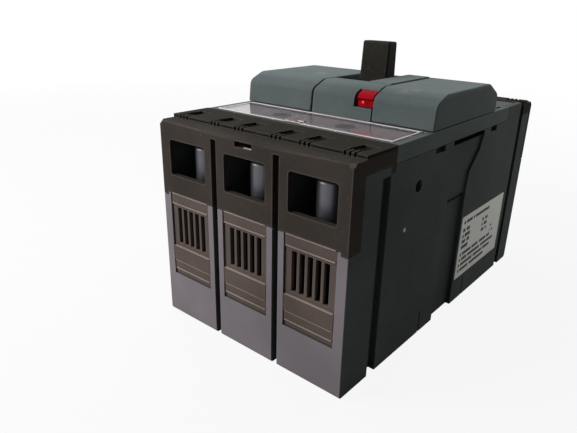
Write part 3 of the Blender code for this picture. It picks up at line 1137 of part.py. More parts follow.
def make_toggle(finish, shroud_finish, steel, spring_finish):
    axis = axis_empty("toggle_axis", (0, PIVOT_Y, PIVOT_Z), TOGGLE_LEAN)
    outline = [(-TOGGLE_ROOT_HALF, TOGGLE_ROOT), (TOGGLE_ROOT_HALF, TOGGLE_ROOT),
               (TOGGLE_TOP_HALF, TOGGLE_TOP), (-TOGGLE_TOP_HALF, TOGGLE_TOP)]
    shape = prism(outline, "X", -TOGGLE_HALF_WIDTH, TOGGLE_HALF_WIDTH)
    neck = block((-NECK_HALF_WIDTH, NECK_HALF_WIDTH), (-NECK_HALF_DEPTH, NECK_HALF_DEPTH),
                 (NECK_BOTTOM, TOGGLE_ROOT + OVER))
    web_top = NECK_BOTTOM - SEAT_GAP
    socket_top = web_top + TONGUE_LENGTH + SEAT_GAP
    socket = block((-TONGUE_HALF_WIDTH - SEAT_GAP, TONGUE_HALF_WIDTH + SEAT_GAP),
                   (-TONGUE_HALF_DEPTH - SEAT_GAP, TONGUE_HALF_DEPTH + SEAT_GAP),
                   (NECK_BOTTOM - OVER, socket_top))
    make("toggle_handle", shape, finish, [("UNION", [neck]), ("DIFFERENCE", [socket])],
         parent=axis, bevel=TOGGLE_EDGE)

    upright = math.pi / 2
    front = upright + SHROUD_FRONT_ANGLE
    back = upright - SHROUD_BACK_ANGLE
    outline = arc((0, 0), SHROUD_RADIUS, back, front, 12)
    outline += arc((0, 0), SHROUD_RADIUS - SHROUD_THICKNESS, front, back, 12)
    hole = block((-NECK_HALF_WIDTH - SEAT_GAP, NECK_HALF_WIDTH + SEAT_GAP),
                 (-NECK_HALF_DEPTH - SEAT_GAP, NECK_HALF_DEPTH + SEAT_GAP),
                 (NECK_BOTTOM, SHROUD_RADIUS + OVER))
    make("handle_shroud", prism(outline, "X", -SHROUD_HALF_WIDTH, SHROUD_HALF_WIDTH), shroud_finish,
         [("DIFFERENCE", [hole])], parent=axis)

    web_bottom = web_top - YOKE_WEB
    leg = arc((0, 0), YOKE_EYE_RADIUS, math.pi, 2 * math.pi, 8)
    leg += [(YOKE_HALF_DEPTH, YOKE_EYE_RADIUS * 2), (YOKE_HALF_DEPTH, web_top),
            (-YOKE_HALF_DEPTH, web_top), (-YOKE_HALF_DEPTH, YOKE_EYE_RADIUS * 2)]
    inner = YOKE_HALF_WIDTH - YOKE_LEG
    shape = prism(leg, "X", -YOKE_HALF_WIDTH, -inner)
    other_leg = prism(leg, "X", inner, YOKE_HALF_WIDTH)
    web = block((-inner - YOKE_LEG / 2, inner + YOKE_LEG / 2), (-YOKE_HALF_DEPTH, YOKE_HALF_DEPTH),
                (web_bottom, web_top))
    tongue = block((-TONGUE_HALF_WIDTH, TONGUE_HALF_WIDTH), (-TONGUE_HALF_DEPTH, TONGUE_HALF_DEPTH),
                   (web_bottom + YOKE_WEB / 2, web_top + TONGUE_LENGTH))
    eye = round_bar((0, 0), PIVOT_PIN_RADIUS + SEAT_GAP, "X", -YOKE_HALF_WIDTH - OVER,
                    YOKE_HALF_WIDTH + OVER, 16)
    make("handle_yoke", shape, steel, [("UNION", [other_leg, web, tongue]), ("DIFFERENCE", [eye])],
         parent=axis)

    spring_low = PIVOT_PIN_RADIUS + SEAT_GAP
    spring_high = web_bottom - SEAT_GAP
    for name, side in (("main_spring_left", -1), ("main_spring_right", 1)):
        spring = coil((side * MAIN_SPRING_X, 0), MAIN_SPRING_RADIUS, MAIN_SPRING_WIRE,
                      MAIN_SPRING_TURNS, spring_low, spring_high, MAIN_SPRING_HOOK)
        make(name, spring, spring_finish, parent=axis, smooth=True)


def make_mechanism_frame(steel):
    bottom = FLOOR + SEAT_GAP
    outer = FRAME_INNER_HALF + FRAME_PLATE
    shoulder = FRAME_TOP - FRAME_SHOULDER
    plate = [(FRAME_FRONT, bottom), (FRAME_BACK, bottom), (FRAME_BACK, shoulder),
             (FRAME_BACK - FRAME_SHOULDER_RUN, FRAME_TOP), (FRAME_FRONT + FRAME_SHOULDER_RUN, FRAME_TOP),
             (FRAME_FRONT, shoulder)]
    shape = prism(plate, "X", -outer, -FRAME_INNER_HALF)
    additions = [prism(plate, "X", FRAME_INNER_HALF, outer)]
    additions.append(block((-outer, outer), (FRAME_FRONT, FRAME_FRONT + FRAME_PLATE),
                           (FRAME_BRIDGE_BOTTOM, FRAME_BRIDGE_TOP)))
    for side in (-1, 1):
        x_range = sorted((side * FRAME_INNER_HALF, side * (outer + FRAME_FOOT_WIDTH)))
        additions.append(block(x_range, (FRAME_FRONT, FRAME_BACK), (bottom, bottom + FRAME_PLATE)))
    reach = outer + OVER
    cuts = [round_bar((0, CROSSBAR_Z), CROSSBAR_SHAFT_RADIUS + RUNNING_CLEARANCE, "X", -reach, reach),
            round_bar((PIVOT_Y, PIVOT_Z), PIVOT_PIN_RADIUS + SEAT_GAP, "X", -reach, reach, 16)]
    make("mechanism_frame", shape, steel, [("UNION", additions), ("DIFFERENCE", cuts)])
    pin = round_bar((PIVOT_Y, PIVOT_Z), PIVOT_PIN_RADIUS, "X", -outer, outer, 16)
    make("handle_pivot_pin", pin, steel, smooth=True)


def build():
    clear_scene()
    base_plastic = make_finish("base_moulding", (0.020, 0.022, 0.020), 0.45)
    cover_plastic = make_finish("cover_moulding", (0.060, 0.070, 0.066), 0.35)
    end_plastic = make_finish("end_cover_moulding", (0.040, 0.036, 0.032), 0.40)
    grille_plastic = make_finish("grille_moulding", (0.070, 0.062, 0.066), 0.50)
    toggle_plastic = make_finish("toggle_moulding", (0.012, 0.012, 0.011), 0.45)
    clear_plastic = make_finish("clear_lid", (0.75, 0.73, 0.74), 0.05, transmission=0.8)
    dial_plastic = make_finish("dial_moulding", (0.55, 0.55, 0.50), 0.40)
    red_plastic = make_finish("button_red", (0.50, 0.010, 0.030), 0.35)
    copper = make_finish("copper", (0.72, 0.38, 0.22), 0.30, 1.0)
    steel = make_finish("zinc_steel", (0.55, 0.56, 0.57), 0.35, 1.0)
    spring_steel = make_finish("spring_steel", (0.40, 0.40, 0.42), 0.30, 1.0)
    splitter_steel = make_finish("splitter_steel", (0.30, 0.31, 0.32), 0.45, 1.0)
    bimetal_strip = make_finish("bimetal_strip", (0.62, 0.55, 0.45), 0.35, 1.0)

    make_base(base_plastic)
    make_main_cover(cover_plastic)
    make_accessory_cover("accessory_cover_left", (-HALF_WIDTH, CENTRE_LEFT - LEFT_GROOVE), cover_plastic)
    make_accessory_cover("accessory_cover_right", (CENTRE_RIGHT + RIGHT_GROOVE, HALF_WIDTH), cover_plastic)
    make_lid(clear_plastic)
    make_trip_panel(base_plastic, dial_plastic)
    for end, word in ((LOAD, "load"), (LINE, "line")):
        make_terminal_cover(end, end_plastic)
        for index, centre in enumerate(POLE_CENTRES):
            number = index + 1
            make_grille(f"vent_grille_{word}_{number}", end, centre, grille_plastic)
            make_screw(f"terminal_screw_{word}_{number}", end, centre, steel)
            make_bar(f"{word}_bar_{number}", end, centre, copper)
            make_chute(f"arc_chute_{word}_{number}", end, centre, splitter_steel)
    for index, centre in enumerate(POLE_CENTRES):
        make_bimetal(f"bimetal_{index + 1}", centre, bimetal_strip)
    make_crossbar(base_plastic, copper)
    make_trip_bar(toggle_plastic)
    make_trip_button(red_plastic, spring_steel)
    make_toggle(toggle_plastic, toggle_plastic, steel, spring_steel)
    make_mechanism_frame(steel)


build()
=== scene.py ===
import math
import bpy
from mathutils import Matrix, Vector


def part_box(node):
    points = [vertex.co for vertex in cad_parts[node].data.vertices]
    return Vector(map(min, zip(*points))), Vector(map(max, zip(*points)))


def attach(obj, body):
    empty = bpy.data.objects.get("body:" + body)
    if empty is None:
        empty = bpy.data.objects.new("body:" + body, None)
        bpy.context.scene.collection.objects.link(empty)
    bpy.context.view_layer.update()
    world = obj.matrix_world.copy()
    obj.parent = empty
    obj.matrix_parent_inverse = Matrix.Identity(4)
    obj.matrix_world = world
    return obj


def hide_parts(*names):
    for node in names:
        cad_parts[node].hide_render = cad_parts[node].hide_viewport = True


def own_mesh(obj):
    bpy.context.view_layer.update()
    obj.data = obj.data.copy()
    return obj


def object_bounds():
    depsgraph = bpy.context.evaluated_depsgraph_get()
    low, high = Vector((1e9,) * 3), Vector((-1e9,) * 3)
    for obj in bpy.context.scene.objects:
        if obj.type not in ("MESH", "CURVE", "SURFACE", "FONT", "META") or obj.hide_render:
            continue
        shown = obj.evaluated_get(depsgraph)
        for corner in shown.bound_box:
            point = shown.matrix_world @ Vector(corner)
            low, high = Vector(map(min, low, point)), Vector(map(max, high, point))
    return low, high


# a moulded case circuit breaker with three poles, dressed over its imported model

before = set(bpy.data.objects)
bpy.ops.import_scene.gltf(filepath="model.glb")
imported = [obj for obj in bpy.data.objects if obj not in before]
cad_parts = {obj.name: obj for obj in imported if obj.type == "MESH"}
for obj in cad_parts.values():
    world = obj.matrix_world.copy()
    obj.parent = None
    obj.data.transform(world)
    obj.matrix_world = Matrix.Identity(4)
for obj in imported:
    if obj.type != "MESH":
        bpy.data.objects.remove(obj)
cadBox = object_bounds()
print("frame loaded")

wall = cadBox[1][0]  # how far the case's sides stand from the middle
coverFace = cadBox[1][1]  # how far the end covers' faces stand from the middle
ends = ("load", "line")
poles = (1, 2, 3)


# selection and mesh helpers

meshSettings = dict(
    merge=0.00001,  # vertices that are closer than this become one
    near=0.0001,  # how close a place has to be to count as the one looked for
    flatAngle=0.6,  # triangles that meet at less than this are joined up again, in degrees
    softAngle=32,  # edges that are sharper than this are rounded, in degrees
    level=0.9,  # least upright share of the normal of a face that lies level
)


def deselectAll():
    if bpy.context.object and bpy.context.object.mode != "OBJECT":
        bpy.ops.object.mode_set(mode="OBJECT")
    bpy.ops.object.select_all(action="DESELECT")


def useOnly(piece):
    deselectAll()
    piece.select_set(True)
    bpy.context.view_layer.objects.active = piece


def startPick(piece, kind):
    # sets the kind of mesh part to pick, with nothing picked yet
    useOnly(piece)
    bpy.ops.object.mode_set(mode="EDIT")
    bpy.ops.mesh.select_mode(type=kind)
    bpy.ops.mesh.select_all(action="DESELECT")
    bpy.ops.object.mode_set(mode="OBJECT")


def pickFaces(piece, wanted):
    # picks faces by their centre and normal, and stays in edit mode
    startPick(piece, "FACE")
    for face in piece.data.polygons:
        face.select = bool(wanted(face.center, face.normal))
    bpy.ops.object.mode_set(mode="EDIT")


def pickEdges(piece, wanted):
    # picks edges by their two ends, and stays in edit mode
    startPick(piece, "EDGE")
    for edge in piece.data.edges:
        start, end = [piece.data.vertices[i].co for i in edge.vertices]
        edge.select = bool(wanted(start, end))
    bpy.ops.object.mode_set(mode="EDIT")


def pickVertices(piece, wanted):
    # picks vertices by their place, and stays in edit mode
    startPick(piece, "VERT")
    for vertex in piece.data.vertices:
        vertex.select = bool(wanted(vertex.co))
    bpy.ops.object.mode_set(mode="EDIT")


def everyFace(centre, normal):
    return True


def endEdit():
    bpy.ops.object.mode_set(mode="OBJECT")


def settle(piece):
    # puts a piece's place into its mesh, so that its object sits at the origin
    useOnly(piece)
    bpy.ops.object.transform_apply(location=True, rotation=True, scale=True)


def softenEdges(piece, width, segments=2):
    # rounds the sharp edges and keeps the flat faces flat in their shading
    angle = math.radians(meshSettings["softAngle"])
    useOnly(piece)
    bevel = piece.modifiers.new("softEdges", "BEVEL")
    bevel.width = width
    bevel.segments = segments
    bevel.limit_method = "ANGLE"
    bevel.angle_limit = angle
    bpy.ops.object.modifier_apply(modifier=bevel.name)
    bpy.ops.object.shade_smooth_by_angle(angle=angle)
    weights = piece.modifiers.new("flatFaces", "WEIGHTED_NORMAL")
    weights.keep_sharp = True
    bpy.ops.object.modifier_apply(modifier=weights.name)


def addBlock(name, low, high):
    # a box between two corners
    deselectAll()
    middle = [(a + b) / 2 for a, b in zip(low, high)]
    bpy.ops.mesh.primitive_cube_add(size=1, location=middle)
    block = bpy.context.object
    block.name = name
    block.dimensions = [b - a for a, b in zip(low, high)]
    settle(block)
    return block


def joinAll(pieces, name):
    deselectAll()
    for piece in pieces:
        piece.select_set(True)
    bpy.context.view_layer.objects.active = pieces[0]
    bpy.ops.object.join()
    joined = bpy.context.object
    joined.name = name
    return joined


def copyMesh(source, name):
    # a new object with its own copy of another one's mesh
    twin = bpy.data.objects.new(name, source.data.copy())
    bpy.context.scene.collection.objects.link(twin)
    useOnly(twin)
    return twin


def copyPiece(piece, name, along, turn=0.0):
    # a copy that is turned about the upright axis and moved along x
    twin = copyMesh(piece, name)
    twin.rotation_euler.z = turn
    twin.location.x = along
    settle(twin)
    return twin


def copyNode(nodeName, pieceName):
    # the CAD node's own mesh, merged and with its flat triangles joined up again
    piece = copyMesh(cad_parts[nodeName], pieceName)
    bpy.ops.object.mode_set(mode="EDIT")
    bpy.ops.mesh.select_mode(type="VERT")
    bpy.ops.mesh.select_all(action="SELECT")
    bpy.ops.mesh.remove_doubles(threshold=meshSettings["merge"])
    bpy.ops.mesh.dissolve_limited(angle_limit=math.radians(meshSettings["flatAngle"]))
    bpy.ops.mesh.vert_connect_concave()
    bpy.ops.mesh.select_all(action="DESELECT")
    endEdit()
    return piece


# helpers for nodes

def addNoise(tree, scale, detail):
    # an even noise on Object coordinates
    place = tree.nodes.new("ShaderNodeTexCoord")
    noise = tree.nodes.new("ShaderNodeTexNoise")
    noise.inputs["Scale"].default_value = scale
    noise.inputs["Detail"].default_value = detail
    tree.links.new(place.outputs["Object"], noise.inputs["Vector"])
    return noise


def addSpread(tree, value, start, end):
    # 0 where the value is at the start and 1 where it is at the end
    spread = tree.nodes.new("ShaderNodeMapRange")
    spread.inputs["From Min"].default_value = start
    spread.inputs["From Max"].default_value = end
    tree.links.new(value, spread.inputs["Value"])
    return spread.outputs["Result"]


def addProduct(tree, first, second):
    product = tree.nodes.new("ShaderNodeMath")
    product.operation = "MULTIPLY"
    tree.links.new(first, product.inputs[0])
    tree.links.new(second, product.inputs[1])
    return product.outputs[0]


def addTone(tree, share, first, second, blend="MIX"):
    # mixes two colours, each of them a socket or a plain colour
    tone = tree.nodes.new("ShaderNodeMix")
    tone.data_type = "RGBA"
    tone.blend_type = blend
    tree.links.new(share, tone.inputs["Factor"])
    for name, colour in (("A", first), ("B", second)):
        if isinstance(colour, bpy.types.NodeSocket):
            tree.links.new(colour, tone.inputs[name])
        else:
            tone.inputs[name].default_value = colour
    return tone.outputs["Result"]


def addRoughness(tree, value, given):
    # the roughness between its low and its high value
    rough = tree.nodes.new("ShaderNodeMapRange")
    tree.links.new(value, rough.inputs["Value"])
    tree.links.new(given["Rough Low"], rough.inputs["To Min"])
    tree.links.new(given["Rough High"], rough.inputs["To Max"])
    return rough.outputs["Result"]


def addBump(tree, height, shader, strength, distance):
    bump = tree.nodes.new("ShaderNodeBump")
    bump.inputs["Strength"].default_value = strength
    bump.inputs["Distance"].default_value = distance
    tree.links.new(height, bump.inputs["Height"])
    tree.links.new(bump.outputs["Normal"], shader.inputs["Normal"])


def whereObject(tree, axis):
    # the place along one axis, on Object coordinates
    place = tree.nodes.new("ShaderNodeTexCoord")
    split = tree.nodes.new("ShaderNodeSeparateXYZ")
    tree.links.new(place.outputs["Object"], split.inputs[0])
    return split.outputs[axis]


def hexColour(code):
    # a colour as a picture shows it, turned to the linear values that shaders use
    channels = [int(code[i:i + 2], 16) / 255 for i in (0, 2, 4)]
    return tuple(c / 12.92 if c <= 0.04045 else ((c + 0.055) / 1.055) ** 2.4 for c in channels) + (1.0,)


# camera, light and floor

cameraSettings = dict(
    eye=(0.148297, -0.237247, 0.147592),
    turn=(68.3954, -1.0761, 40.5144),  # degrees
    lens=33.78,
    sensor=36.0,
)

lightSettings = dict(
    aim=(0.0, -0.01, 0.06),
    # place, size and power of each softbox
    key=((-0.33, -0.45, 0.31), 0.30, 4.3),
    top=((-0.30, 0.02, 0.52), 0.5, 2.7),
    side=((0.75, 0.65, 0.35), 0.6, 0.5),
    back=((0.14, 0.80, 0.30), 0.4, 4.5),
    worldDiffuse=0.07,
    worldSeen=1.0,
)

floorSettings = dict(
    size=8.0,
    colour=(0.42, 0.42, 0.41),
    white=0.90,  # share of plain white that is seen in the floor near the object
    fadeStart=0.25,
    fadeEnd=0.9,
)


def placeCamera():
    data = bpy.data.cameras.new("photoCamera")
    data.lens = cameraSettings["lens"]
    data.sensor_width = cameraSettings["sensor"]
    data.sensor_fit = "HORIZONTAL"
    camera = bpy.data.objects.new("photoCamera", data)
    camera.location = cameraSettings["eye"]
    camera.rotation_euler = [math.radians(a) for a in cameraSettings["turn"]]
    bpy.context.scene.collection.objects.link(camera)
    bpy.context.scene.camera = camera


def addSoftbox(name, place, size, power):
    data = bpy.data.lights.new(name, "AREA")
    data.energy = power
    data.size = size
    lamp = bpy.data.objects.new(name, data)
    lamp.location = place
    direction = Vector(lightSettings["aim"]) - Vector(place)
    lamp.rotation_euler = direction.to_track_quat("-Z", "Y").to_euler()
    bpy.context.scene.collection.objects.link(lamp)


def seenDirectly(tree):
    # 1 for the rays that look at a surface from the camera, in a reflection or through a clear piece
    path = tree.nodes.new("ShaderNodeLightPath")
    first = tree.nodes.new("ShaderNodeMath")
    first.operation = "MAXIMUM"
    second = tree.nodes.new("ShaderNodeMath")
    second.operation = "MAXIMUM"
    tree.links.new(path.outputs["Is Camera Ray"], first.inputs[0])
    tree.links.new(path.outputs["Is Glossy Ray"], first.inputs[1])
    tree.links.new(first.outputs[0], second.inputs[0])
    tree.links.new(path.outputs["Is Transmission Ray"], second.inputs[1])
    return second.outputs[0]


def lightStudio():
    for name in ("key", "top", "side", "back"):
        addSoftbox(f"{name}Softbox", *lightSettings[name])
    world = bpy.data.worlds.new("paleStudio")
    world.use_nodes = True
    tree = world.node_tree
    background = tree.nodes["Background"]
    background.inputs["Color"].default_value = (1, 1, 1, 1)
    strength = tree.nodes.new("ShaderNodeMapRange")
    strength.inputs["To Min"].default_value = lightSettings["worldDiffuse"]
    strength.inputs["To Max"].default_value = lightSettings["worldSeen"]
    tree.links.new(seenDirectly(tree), strength.inputs["Value"])
    tree.links.new(strength.outputs["Result"], background.inputs["Strength"])
    bpy.context.scene.world = world
    bpy.context.scene.view_settings.view_transform = "Standard"


def layFloor():
    deselectAll()
    bpy.ops.mesh.primitive_plane_add(size=floorSettings["size"], location=(0, 0, 0))
    floor = bpy.context.object
    floor.name = "paleFloor"
    material = bpy.data.materials.new("paleFloor")
    material.use_nodes = True
    tree = material.node_tree
    tree.nodes.clear()
    output = tree.nodes.new("ShaderNodeOutputMaterial")
    mix = tree.nodes.new("ShaderNodeMixShader")
    diffuse = tree.nodes.new("ShaderNodeBsdfDiffuse")
    diffuse.inputs["Color"].default_value = (*floorSettings["colour"], 1)
    white = tree.nodes.new("ShaderNodeEmission")
    place = tree.nodes.new("ShaderNodeTexCoord")
    away = tree.nodes.new("ShaderNodeVectorMath")
    away.operation = "LENGTH"
    fade = tree.nodes.new("ShaderNodeMapRange")
    fade.inputs["From Min"].default_value = floorSettings["fadeStart"]
    fade.inputs["From Max"].default_value = floorSettings["fadeEnd"]
    fade.inputs["To Min"].default_value = floorSettings["white"]
    tree.links.new(place.outputs["Object"], away.inputs[0])
    tree.links.new(away.outputs["Value"], fade.inputs["Value"])
    share = addProduct(tree, fade.outputs["Result"], seenDirectly(tree))
    tree.links.new(share, mix.inputs["Fac"])
    tree.links.new(diffuse.outputs[0], mix.inputs[1])
    tree.links.new(white.outputs[0], mix.inputs[2])
    tree.links.new(mix.outputs[0], output.inputs["Surface"])
    floor.data.materials.append(material)


# shared effects: node groups

skinSettings = dict(
    mottleScale=30,
    mottleDetail=4,
    mottleStart=0.35,
    mottleEnd=0.65,
    grainScale=2200,
    grainDetail=2,
    grainStrength=0.5,
    grainDepth=0.00006,
    speckScale=700,
    speckDetail=1,
    speckStart=0.66,
    speckEnd=0.72,
    dustColour=(0.45, 0.44, 0.42, 1),
    edgeWidth=0.0011,
    edgeSamples=4,
    # the lighter edge colour below is rubbed wear and also a painted highlight along the edges
    edgeStart=0.985,  # cosine of the normal's turn where the wear starts
    edgeEnd=0.86,  # and where it is full
    rubbedAndLitColour=(0.22, 0.20, 0.19, 1),
)

metalSettings = dict(
    lineScale=900,
    lineDetail=3,
    stretch=(1, 1, 12),
    lineStrength=0.25,
    lineDepth=0.00003,
    stainScale=120,
    stainDetail=3,
    stainTint=(0.72, 0.70, 0.68, 1),
)


def startGroup(name, colours, numbers):
    # a node group with its named inputs, and a colour, a roughness and a height as its outputs
    group = bpy.data.node_groups.new(name, "ShaderNodeTree")
    face = group.interface
    for colour in colours:
        face.new_socket(colour, in_out="INPUT", socket_type="NodeSocketColor")
    for number in numbers:
        face.new_socket(number, in_out="INPUT", socket_type="NodeSocketFloat")
    face.new_socket("Colour", in_out="OUTPUT", socket_type="NodeSocketColor")
    face.new_socket("Roughness", in_out="OUTPUT", socket_type="NodeSocketFloat")
    face.new_socket("Height", in_out="OUTPUT", socket_type="NodeSocketFloat")
    given = group.nodes.new("NodeGroupInput").outputs
    made = group.nodes.new("NodeGroupOutput").inputs
    return group, given, made


def mouldedSkinGroup():
    # fine moulded grain, soft mottling, specks of dust, and edges painted lighter, partly as rubbed wear and
    # partly as a painted highlight
    skin = skinSettings
    group, given, made = startGroup("mouldedSkin", ("Colour", "Second Colour"),
                                    ("Dust", "Rough Low", "Rough High", "WearAndHighlight"))
    link = group.links.new

    mottle = addNoise(group, skin["mottleScale"], skin["mottleDetail"]).outputs["Fac"]
    patches = addSpread(group, mottle, skin["mottleStart"], skin["mottleEnd"])
    mottled = addTone(group, patches, given["Colour"], given["Second Colour"])

    specks = addNoise(group, skin["speckScale"], skin["speckDetail"]).outputs["Fac"]
    fewSpecks = addSpread(group, specks, skin["speckStart"], skin["speckEnd"])
    dusted = addTone(group, addProduct(group, fewSpecks, given["Dust"]), mottled, skin["dustColour"])

    # an edge is painted lighter where the surface turns within the edge width: partly rubbed wear, partly a
    # painted highlight along the edge
    geometry = group.nodes.new("ShaderNodeNewGeometry")
    rounded = group.nodes.new("ShaderNodeBevel")
    rounded.samples = skin["edgeSamples"]
    rounded.inputs["Radius"].default_value = skin["edgeWidth"]
    turned = group.nodes.new("ShaderNodeVectorMath")
    turned.operation = "DOT_PRODUCT"
    link(rounded.outputs["Normal"], turned.inputs[0])
    link(geometry.outputs["True Normal"], turned.inputs[1])
    edges = addSpread(group, turned.outputs["Value"], skin["edgeStart"], skin["edgeEnd"])
    wornAndLit = addTone(group, addProduct(group, edges, given["WearAndHighlight"]), dusted, skin["rubbedAndLitColour"])

    link(wornAndLit, made["Colour"])
    link(addRoughness(group, mottle, given), made["Roughness"])
    link(addNoise(group, skin["grainScale"], skin["grainDetail"]).outputs["Fac"], made["Height"])
    return group


def brushedMetalGroup():
    # fine drawn lines and faint stains
    metal = metalSettings
    group, given, made = startGroup("brushedMetal", ("Colour",), ("Rough Low", "Rough High"))
    link = group.links.new
    place = group.nodes.new("ShaderNodeTexCoord")
    scaled = group.nodes.new("ShaderNodeVectorMath")
    scaled.operation = "MULTIPLY"
    scaled.inputs[1].default_value = metal["stretch"]
    lines = group.nodes.new("ShaderNodeTexNoise")
    lines.inputs["Scale"].default_value = metal["lineScale"]
    lines.inputs["Detail"].default_value = metal["lineDetail"]
    link(place.outputs["Object"], scaled.inputs[0])
    link(scaled.outputs[0], lines.inputs["Vector"])
    stains = addNoise(group, metal["stainScale"], metal["stainDetail"]).outputs["Fac"]
    link(addTone(group, stains, given["Colour"], metal["stainTint"], "MULTIPLY"), made["Colour"])
    link(addRoughness(group, lines.outputs["Fac"], given), made["Roughness"])
    link(lines.outputs["Fac"], made["Height"])
    return group


skinGroup = mouldedSkinGroup()
metalGroup = brushedMetalGroup()


# materials

plasticFinishes = dict(
    # name, colour, second colour, roughness low and high, dust, edge wear and painted edge highlight,
    # specular level
    base=("baseMoulding", "414745", "3a403e", 0.60, 0.75, 0.03, 0.15, 0.02),
    deck=("deckMoulding", "505756", "495051", 0.60, 0.75, 0.03, 0.20, 0.02),
    endCover=("endCoverMoulding", "38332f", "302c29", 0.55, 0.70, 0.03, 0.18, 0.004),
    grille=("grilleMoulding", "554b46", "4a413d", 0.55, 0.70, 0.03, 0.10, 0.02),
    # the grille ridges' pale colour is a painted highlight along the ledges
    ridge=("grilleRidgeHighlight", "8d8078", "786c66", 0.45, 0.60, 0.0, 0.0, 0.05),
    # dark fill for the side slots: painted shade
    slotShade=("paintedShadeFill", "080908", "0c0d0c", 0.60, 0.70, 0.0, 0.0, 0.0),
    toggle=("toggleMoulding", "292724", "23211e", 0.50, 0.65, 0.03, 0.10, 0.01),
    red=("buttonRed", "9c0618", "840512", 0.35, 0.45, 0.0, 0.0, 0.012),
    panel=("tripPanelMoulding", "979192", "8d8788", 0.40, 0.55, 0.0, 0.30, 0.2),
    dial=("dialMoulding", "676363", "5e5a5a", 0.40, 0.55, 0.0, 0.20, 0.05),
    paper=("labelPaper", "d6d6d0", "cdcdc7", 0.45, 0.55, 0.0, 0.0, 0.2),
    ink=("labelInk", "161716", "1c1d1c", 0.50, 0.60, 0.0, 0.0, 0.1),
    pale=("paleStrip", "9a978b", "8f8c80", 0.45, 0.55, 0.0, 0.0, 0.1),
    # the lid rim's pale colour is a painted highlight along the clear lid's edges
    rim=("lidRimHighlight", "c9bfc0", "bdb4b5", 0.15, 0.25, 0.0, 0.20, 0.5),
    # the button dot's light red is a painted highlight, not a lit lens
    dotHighlight=("buttonHighlightDot", "ff5f50", "ff5545", 0.20, 0.25, 0.0, 0.0, 0.2),
)

metalFinishes = dict(
    # name, colour, roughness low and high
    steel=("zincSteel", "5f5f65", 0.38, 0.52),
    copper=("bareCopper", "c98a64", 0.25, 0.40),
    spring=("springWire", "9a9ca0", 0.25, 0.40),
    splitter=("splitterSteel", "77797c", 0.35, 0.55),
    bimetal=("bimetalStrip", "b5a68c", 0.30, 0.45),
)

lidPlastic = dict(
    colour="f0e8ea",
    roughness=0.02,
    haze=0.08,  # how much rougher the haziest spots are
    hazeScale=60,
    hazeDetail=3,
    refraction=1.42,
)

# painted light on the end frames: a lighter, greyer colour for the lit end faces
litFrameTint = dict(
    start=0.0893,  # distance from the middle at which the end frames begin
    end=0.0898,
    colour="716b70",
    second="676266",
)

paleSpot = dict(
    place=(wall, -0.0491, 0.0612),
    outer=0.0012,
    inner=0.0007,
    colour="b9bcb6",
)

coverShade = dict(
    topStart=0.0972,
    topEnd=0.0985,
    topShadeColour="282722",
    floor=0.0982,  # the height of the troughs' floor
    within=0.0003,
    floorShadowColour="131311",
)

topSheenAndScuffs = dict(
    start=0.1115,
    end=0.1136,
    sheenTop="5f6766",
    sheenTopSecond="586161",
    scale=55,
    detail=7,
    roughness=0.7,
    fewest=0.58,
    most=0.74,
    share=0.4,
    colour="9a938c",
)


def newMaterial(name):
    material = bpy.data.materials.new(name)
    material.use_nodes = True
    shader = material.node_tree.nodes["Principled BSDF"]
    return material, material.node_tree, shader


def placeGroup(tree, group, name, roughLow, roughHigh, shader):
    # a shared effect in one material, joined to the shader's colour and roughness
    effect = tree.nodes.new("ShaderNodeGroup")
    effect.node_tree = group
    effect.name = name
    effect.inputs["Rough Low"].default_value = roughLow
    effect.inputs["Rough High"].default_value = roughHigh
    tree.links.new(effect.outputs["Colour"], shader.inputs["Base Color"])
    tree.links.new(effect.outputs["Roughness"], shader.inputs["Roughness"])
    return effect


def mouldedPlastic(name, colour, second, roughLow, roughHigh, dust, edgeWearAndHighlight, specular):
    material, tree, shader = newMaterial(name)
    skin = placeGroup(tree, skinGroup, "skin", roughLow, roughHigh, shader)
    skin.inputs["Colour"].default_value = hexColour(colour)
    skin.inputs["Second Colour"].default_value = hexColour(second)
    skin.inputs["Dust"].default_value = dust
    skin.inputs["WearAndHighlight"].default_value = edgeWearAndHighlight
    shader.inputs["Specular IOR Level"].default_value = specular
    addBump(tree, skin.outputs["Height"], shader, skinSettings["grainStrength"], skinSettings["grainDepth"])
    return material


def plainMetal(name, colour, roughLow, roughHigh):
    material, tree, shader = newMaterial(name)
    metal = placeGroup(tree, metalGroup, "metal", roughLow, roughHigh, shader)
    metal.inputs["Colour"].default_value = hexColour(colour)
    shader.inputs["Metallic"].default_value = 1.0
    addBump(tree, metal.outputs["Height"], shader, metalSettings["lineStrength"], metalSettings["lineDepth"])
    return material


def clearPlastic(name):
    lid = lidPlastic
    material, tree, shader = newMaterial(name)
    haze = addNoise(tree, lid["hazeScale"], lid["hazeDetail"])
    spread = tree.nodes.new("ShaderNodeMapRange")
    spread.inputs["To Min"].default_value = lid["roughness"]
    spread.inputs["To Max"].default_value = lid["roughness"] + lid["haze"]
    tree.links.new(haze.outputs["Fac"], spread.inputs["Value"])
    tree.links.new(spread.outputs["Result"], shader.inputs["Roughness"])
    shader.inputs["Base Color"].default_value = hexColour(lid["colour"])
    shader.inputs["Transmission Weight"].default_value = 1.0
    shader.inputs["IOR"].default_value = lid["refraction"]
    return material


def recolour(tree, name, share, code):
    # mixes another colour into one input of the moulded skin, over what it has so far
    socket = tree.nodes["skin"].inputs[name]
    before = socket.links[0].from_socket if socket.is_linked else socket.default_value
    tree.links.new(addTone(tree, share, before, hexColour(code)), socket)


def recolourBoth(tree, share, code, second):
    recolour(tree, "Colour", share, code)
    recolour(tree, "Second Colour", share, second)


